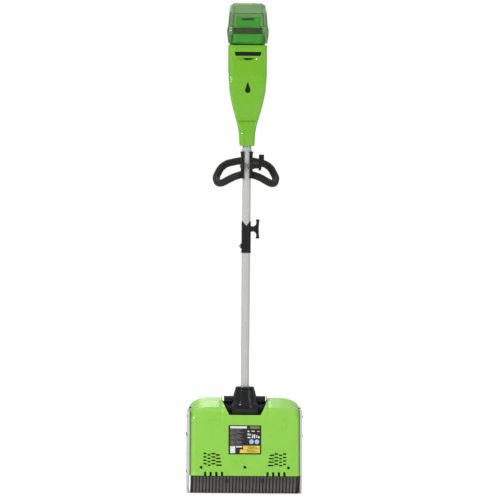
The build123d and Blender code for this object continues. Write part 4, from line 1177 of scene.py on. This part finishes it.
class Drive(PieceOperator, bpy.types.Operator):
    """Motor, its mount, pulley, fan and the belt"""

    bl_idname = "snow_blower.drive"
    bl_label = "Drive"
    softened_nodes = (("motor_can", "head", "motor_steel", 0.8),
                      ("motor_mount", "head", "motor_bracket_alu", 0.8),
                      ("drive_pulley", "motor_rotor", "pulley_alu", 0.3),
                      ("motor_fan", "motor_rotor", "core_nylon", 0.3))

    def build(self, sizes):
        dress(copy_of("drive_belt"), "head", "belt_rubber", "drive_belt")


class Screws(PieceOperator, bpy.types.Operator):
    """Pan-head screws of the covers, the side plates and the rear handle"""

    bl_idname = "snow_blower.screws"
    bl_label = "Screws"

    def build(self, sizes):
        def pan(radius, height, sink):
            profile = [(0, height - 1.0), (radius * 0.28, height - 1.0), (radius * 0.36, height),
                       (radius * 0.62, height), (radius * 0.86, height * 0.82), (radius, height * 0.42),
                       (radius, 0), (radius * 0.42, 0), (radius * 0.42, -sink), (0, -sink)]
            return lathe(profile, "Z", (0, 0, 0), 20)

        back = [((x, panel_y(z) + 1.6, z), PANEL_TURN, ONE) for x, z in COVER_SCREWS]
        sides = [((side * 165.0, -10.0, 255.0), (0, side * math.pi / 2, 0), ONE) for side in (-1, 1)]
        covers = at_places("cover_screw_heads", pan(4.0, 2.2, 5), back + sides, "screw_steel")
        dress(covers, "head", "screw_steel", "cover_screws")
        plates = []
        for side in (-1, 1):
            for y, z in PLATE_SCREWS:
                plates.append(((side * (PLATE_FACE - 0.1), y, z), (0, side * math.pi / 2, 0), ONE))
        heads = at_places("side_screw_heads", pan(4.5, 2.0, 4), plates, "screw_steel")
        dress(heads, "head", "screw_steel", "side_screws")
        floor = [((0, -37.0, WELL_Z), (math.pi / 2, 0, 0), ONE)]
        well = at_places("handle_screw_head", pan(4.2, 2.0, 1), floor, "screw_steel")
        dress(well, "upper_shaft", "screw_steel", "handle_screw")


class CarriedOver(PieceOperator, bpy.types.Operator):
    """Finishes on the frame's own pieces that keep their shape"""

    bl_idname = "snow_blower.carried_over"
    bl_label = "Frame pieces"

    def build(self, sizes):
        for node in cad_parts.values():
            for holder in node.material_slots:
                slot = holder.material.name.split(".")[0] if holder.material else ""
                if slot in FINISH:
                    holder.material = FINISH[slot]


# ---------------- stage ----------------

# name, place in millimetres, side of the square lamp, watts
STAGE_LIGHTS = [("Key", (-2300, -2600, 2700), 480, 50), ("Fill", (2600, -2400, 1200), 1500, 9),
                ("Back", (-400, 2400, 2900), 1200, 10)]
CAMERA_LENS = 500.0         # a long lens: the object is seen almost without perspective
CAMERA_AWAY = 20.833
CAMERA_AIM = (0.0125, 0, 0.7275)
CAMERA_TURN, CAMERA_RISE, CAMERA_ROLL = -1.5, 2.0, 0.5      # degrees


class Stage(PieceOperator, bpy.types.Operator):
    """Pale floor, soft studio light and the camera"""

    bl_idname = "snow_blower.stage"
    bl_label = "Stage"

    def build(self, sizes):
        floor = new_object("floor", [(-9000, -9000, 0), (9000, -9000, 0), (9000, 9000, 0), (-9000, 9000, 0)],
                           [(0, 1, 2, 3)], outward=False)
        material, tree, where, shader = start_material("Studio floor, white")
        grain = add(tree, "ShaderNodeTexNoise", [("Vector", where), ("Scale", 2.0)])
        tone = add(tree, "ShaderNodeMix", [(0, grain.outputs["Fac"]), (6, opaque(linear("#F7F7F7"))),
                                           (7, opaque(linear("#FDFDFD")))], data_type="RGBA")
        tree.links.new(tone.outputs[2], shader.inputs["Base Color"])
        shader.inputs["Roughness"].default_value = 0.9
        shader.inputs["Emission Color"].default_value = (1, 1, 1, 1)
        seen = add(tree, "ShaderNodeLightPath").outputs["Is Camera Ray"]
        lit = add(tree, "ShaderNodeMath", [(0, seen), (1, 0.45)], operation="MULTIPLY")
        tree.links.new(lit.outputs[0], shader.inputs["Emission Strength"])
        floor.data.materials.append(material)
        world = bpy.data.worlds.new("Studio")
        bpy.context.scene.world = world
        world.use_nodes = True
        tree = world.node_tree
        tree.nodes.clear()
        way = add(tree, "ShaderNodeSeparateXYZ", [(0, add(tree, "ShaderNodeTexCoord").outputs["Generated"])])
        rise = add(tree, "ShaderNodeMapRange", [(0, way.outputs["Z"]), (1, -0.1), (2, 0.9), (3, 0.26),
                                                (4, 0.86)])
        soft = add(tree, "ShaderNodeBackground", [("Color", (1, 1, 1, 1)), ("Strength", rise.outputs[0])])
        paper = add(tree, "ShaderNodeBackground", [("Color", (1, 1, 1, 1)), ("Strength", 1.0)])
        seen = add(tree, "ShaderNodeLightPath").outputs["Is Camera Ray"]
        both = add(tree, "ShaderNodeMixShader", [(0, seen), (1, soft.outputs[0]), (2, paper.outputs[0])])
        add(tree, "ShaderNodeOutputWorld", [("Surface", both.outputs[0])])
        bpy.context.scene.view_settings.view_transform = "Standard"
        for name, place, size, power in STAGE_LIGHTS:
            light = bpy.data.lights.new(name, "AREA")
            light.size = size * MM
            light.energy = power
            lamp = bpy.data.objects.new(name, light)
            bpy.context.scene.collection.objects.link(lamp)
            lamp.location = Vector(place) * MM
            aim = Vector((0, 0, 0.7)) - lamp.location
            lamp.rotation_euler = aim.to_track_quat("-Z", "Y").to_euler()
        lens = bpy.data.cameras.new("Camera")
        lens.lens = CAMERA_LENS
        lens.sensor_width = 36
        lens.clip_end = 100
        camera = bpy.data.objects.new("Camera", lens)
        bpy.context.scene.collection.objects.link(camera)
        turn, rise, roll = (math.radians(angle) for angle in (CAMERA_TURN, CAMERA_RISE, CAMERA_ROLL))
        away = Vector((math.sin(turn) * math.cos(rise), -math.cos(turn) * math.cos(rise), math.sin(rise)))
        camera.location = Vector(CAMERA_AIM) + away * CAMERA_AWAY
        facing = (-away).to_track_quat("-Z", "Y").to_matrix() @ Matrix.Rotation(roll, 3, "Z")
        camera.rotation_euler = facing.to_euler()
        bpy.context.scene.camera = camera


OPERATORS = [RearCover, FrontHood, SidePlates, Scraper, RatingLabel, Neck, Tubes, Coupler, FrontHandle,
             RearShell, FrontShell, Controls, Battery, Lid, Rotor, Drive, Screws, CarriedOver, Stage]


class SnowBlowerPanel(bpy.types.Panel):
    """Lists the pieces in the 3D view's sidebar."""

    bl_idname = "VIEW3D_PT_snow_blower"
    bl_label = "Snow Blower"
    bl_space_type = "VIEW_3D"
    bl_region_type = "UI"
    bl_category = "Snow Blower"

    def draw(self, context):
        """Draws the settings and a button for each operator."""
        for group in (context.scene.snow_blower_sizes, context.scene.snow_blower_colours):
            for key in group.bl_rna.properties.keys():
                if key not in ("rna_type", "name"):
                    self.layout.prop(group, key)
        for operator in OPERATORS:
            self.layout.operator(operator.bl_idname)


CLASSES = [SnowBlowerSizes, SnowBlowerColours, *OPERATORS, SnowBlowerPanel]


def register():
    """Registers the classes and hangs the settings on the scene."""
    for one in CLASSES:
        bpy.utils.register_class(one)
    bpy.types.Scene.snow_blower_sizes = bpy.props.PointerProperty(type=SnowBlowerSizes)
    bpy.types.Scene.snow_blower_colours = bpy.props.PointerProperty(type=SnowBlowerColours)


def unregister():
    """Takes the settings and the classes away again."""
    del bpy.types.Scene.snow_blower_sizes
    del bpy.types.Scene.snow_blower_colours
    for one in reversed(CLASSES):
        bpy.utils.unregister_class(one)


def main():
    """Builds everything in order."""
    register()
    for operator in OPERATORS:
        group, name = operator.bl_idname.split(".")
        getattr(getattr(bpy.ops, group), name)()


if __name__ == "__main__":
    main()
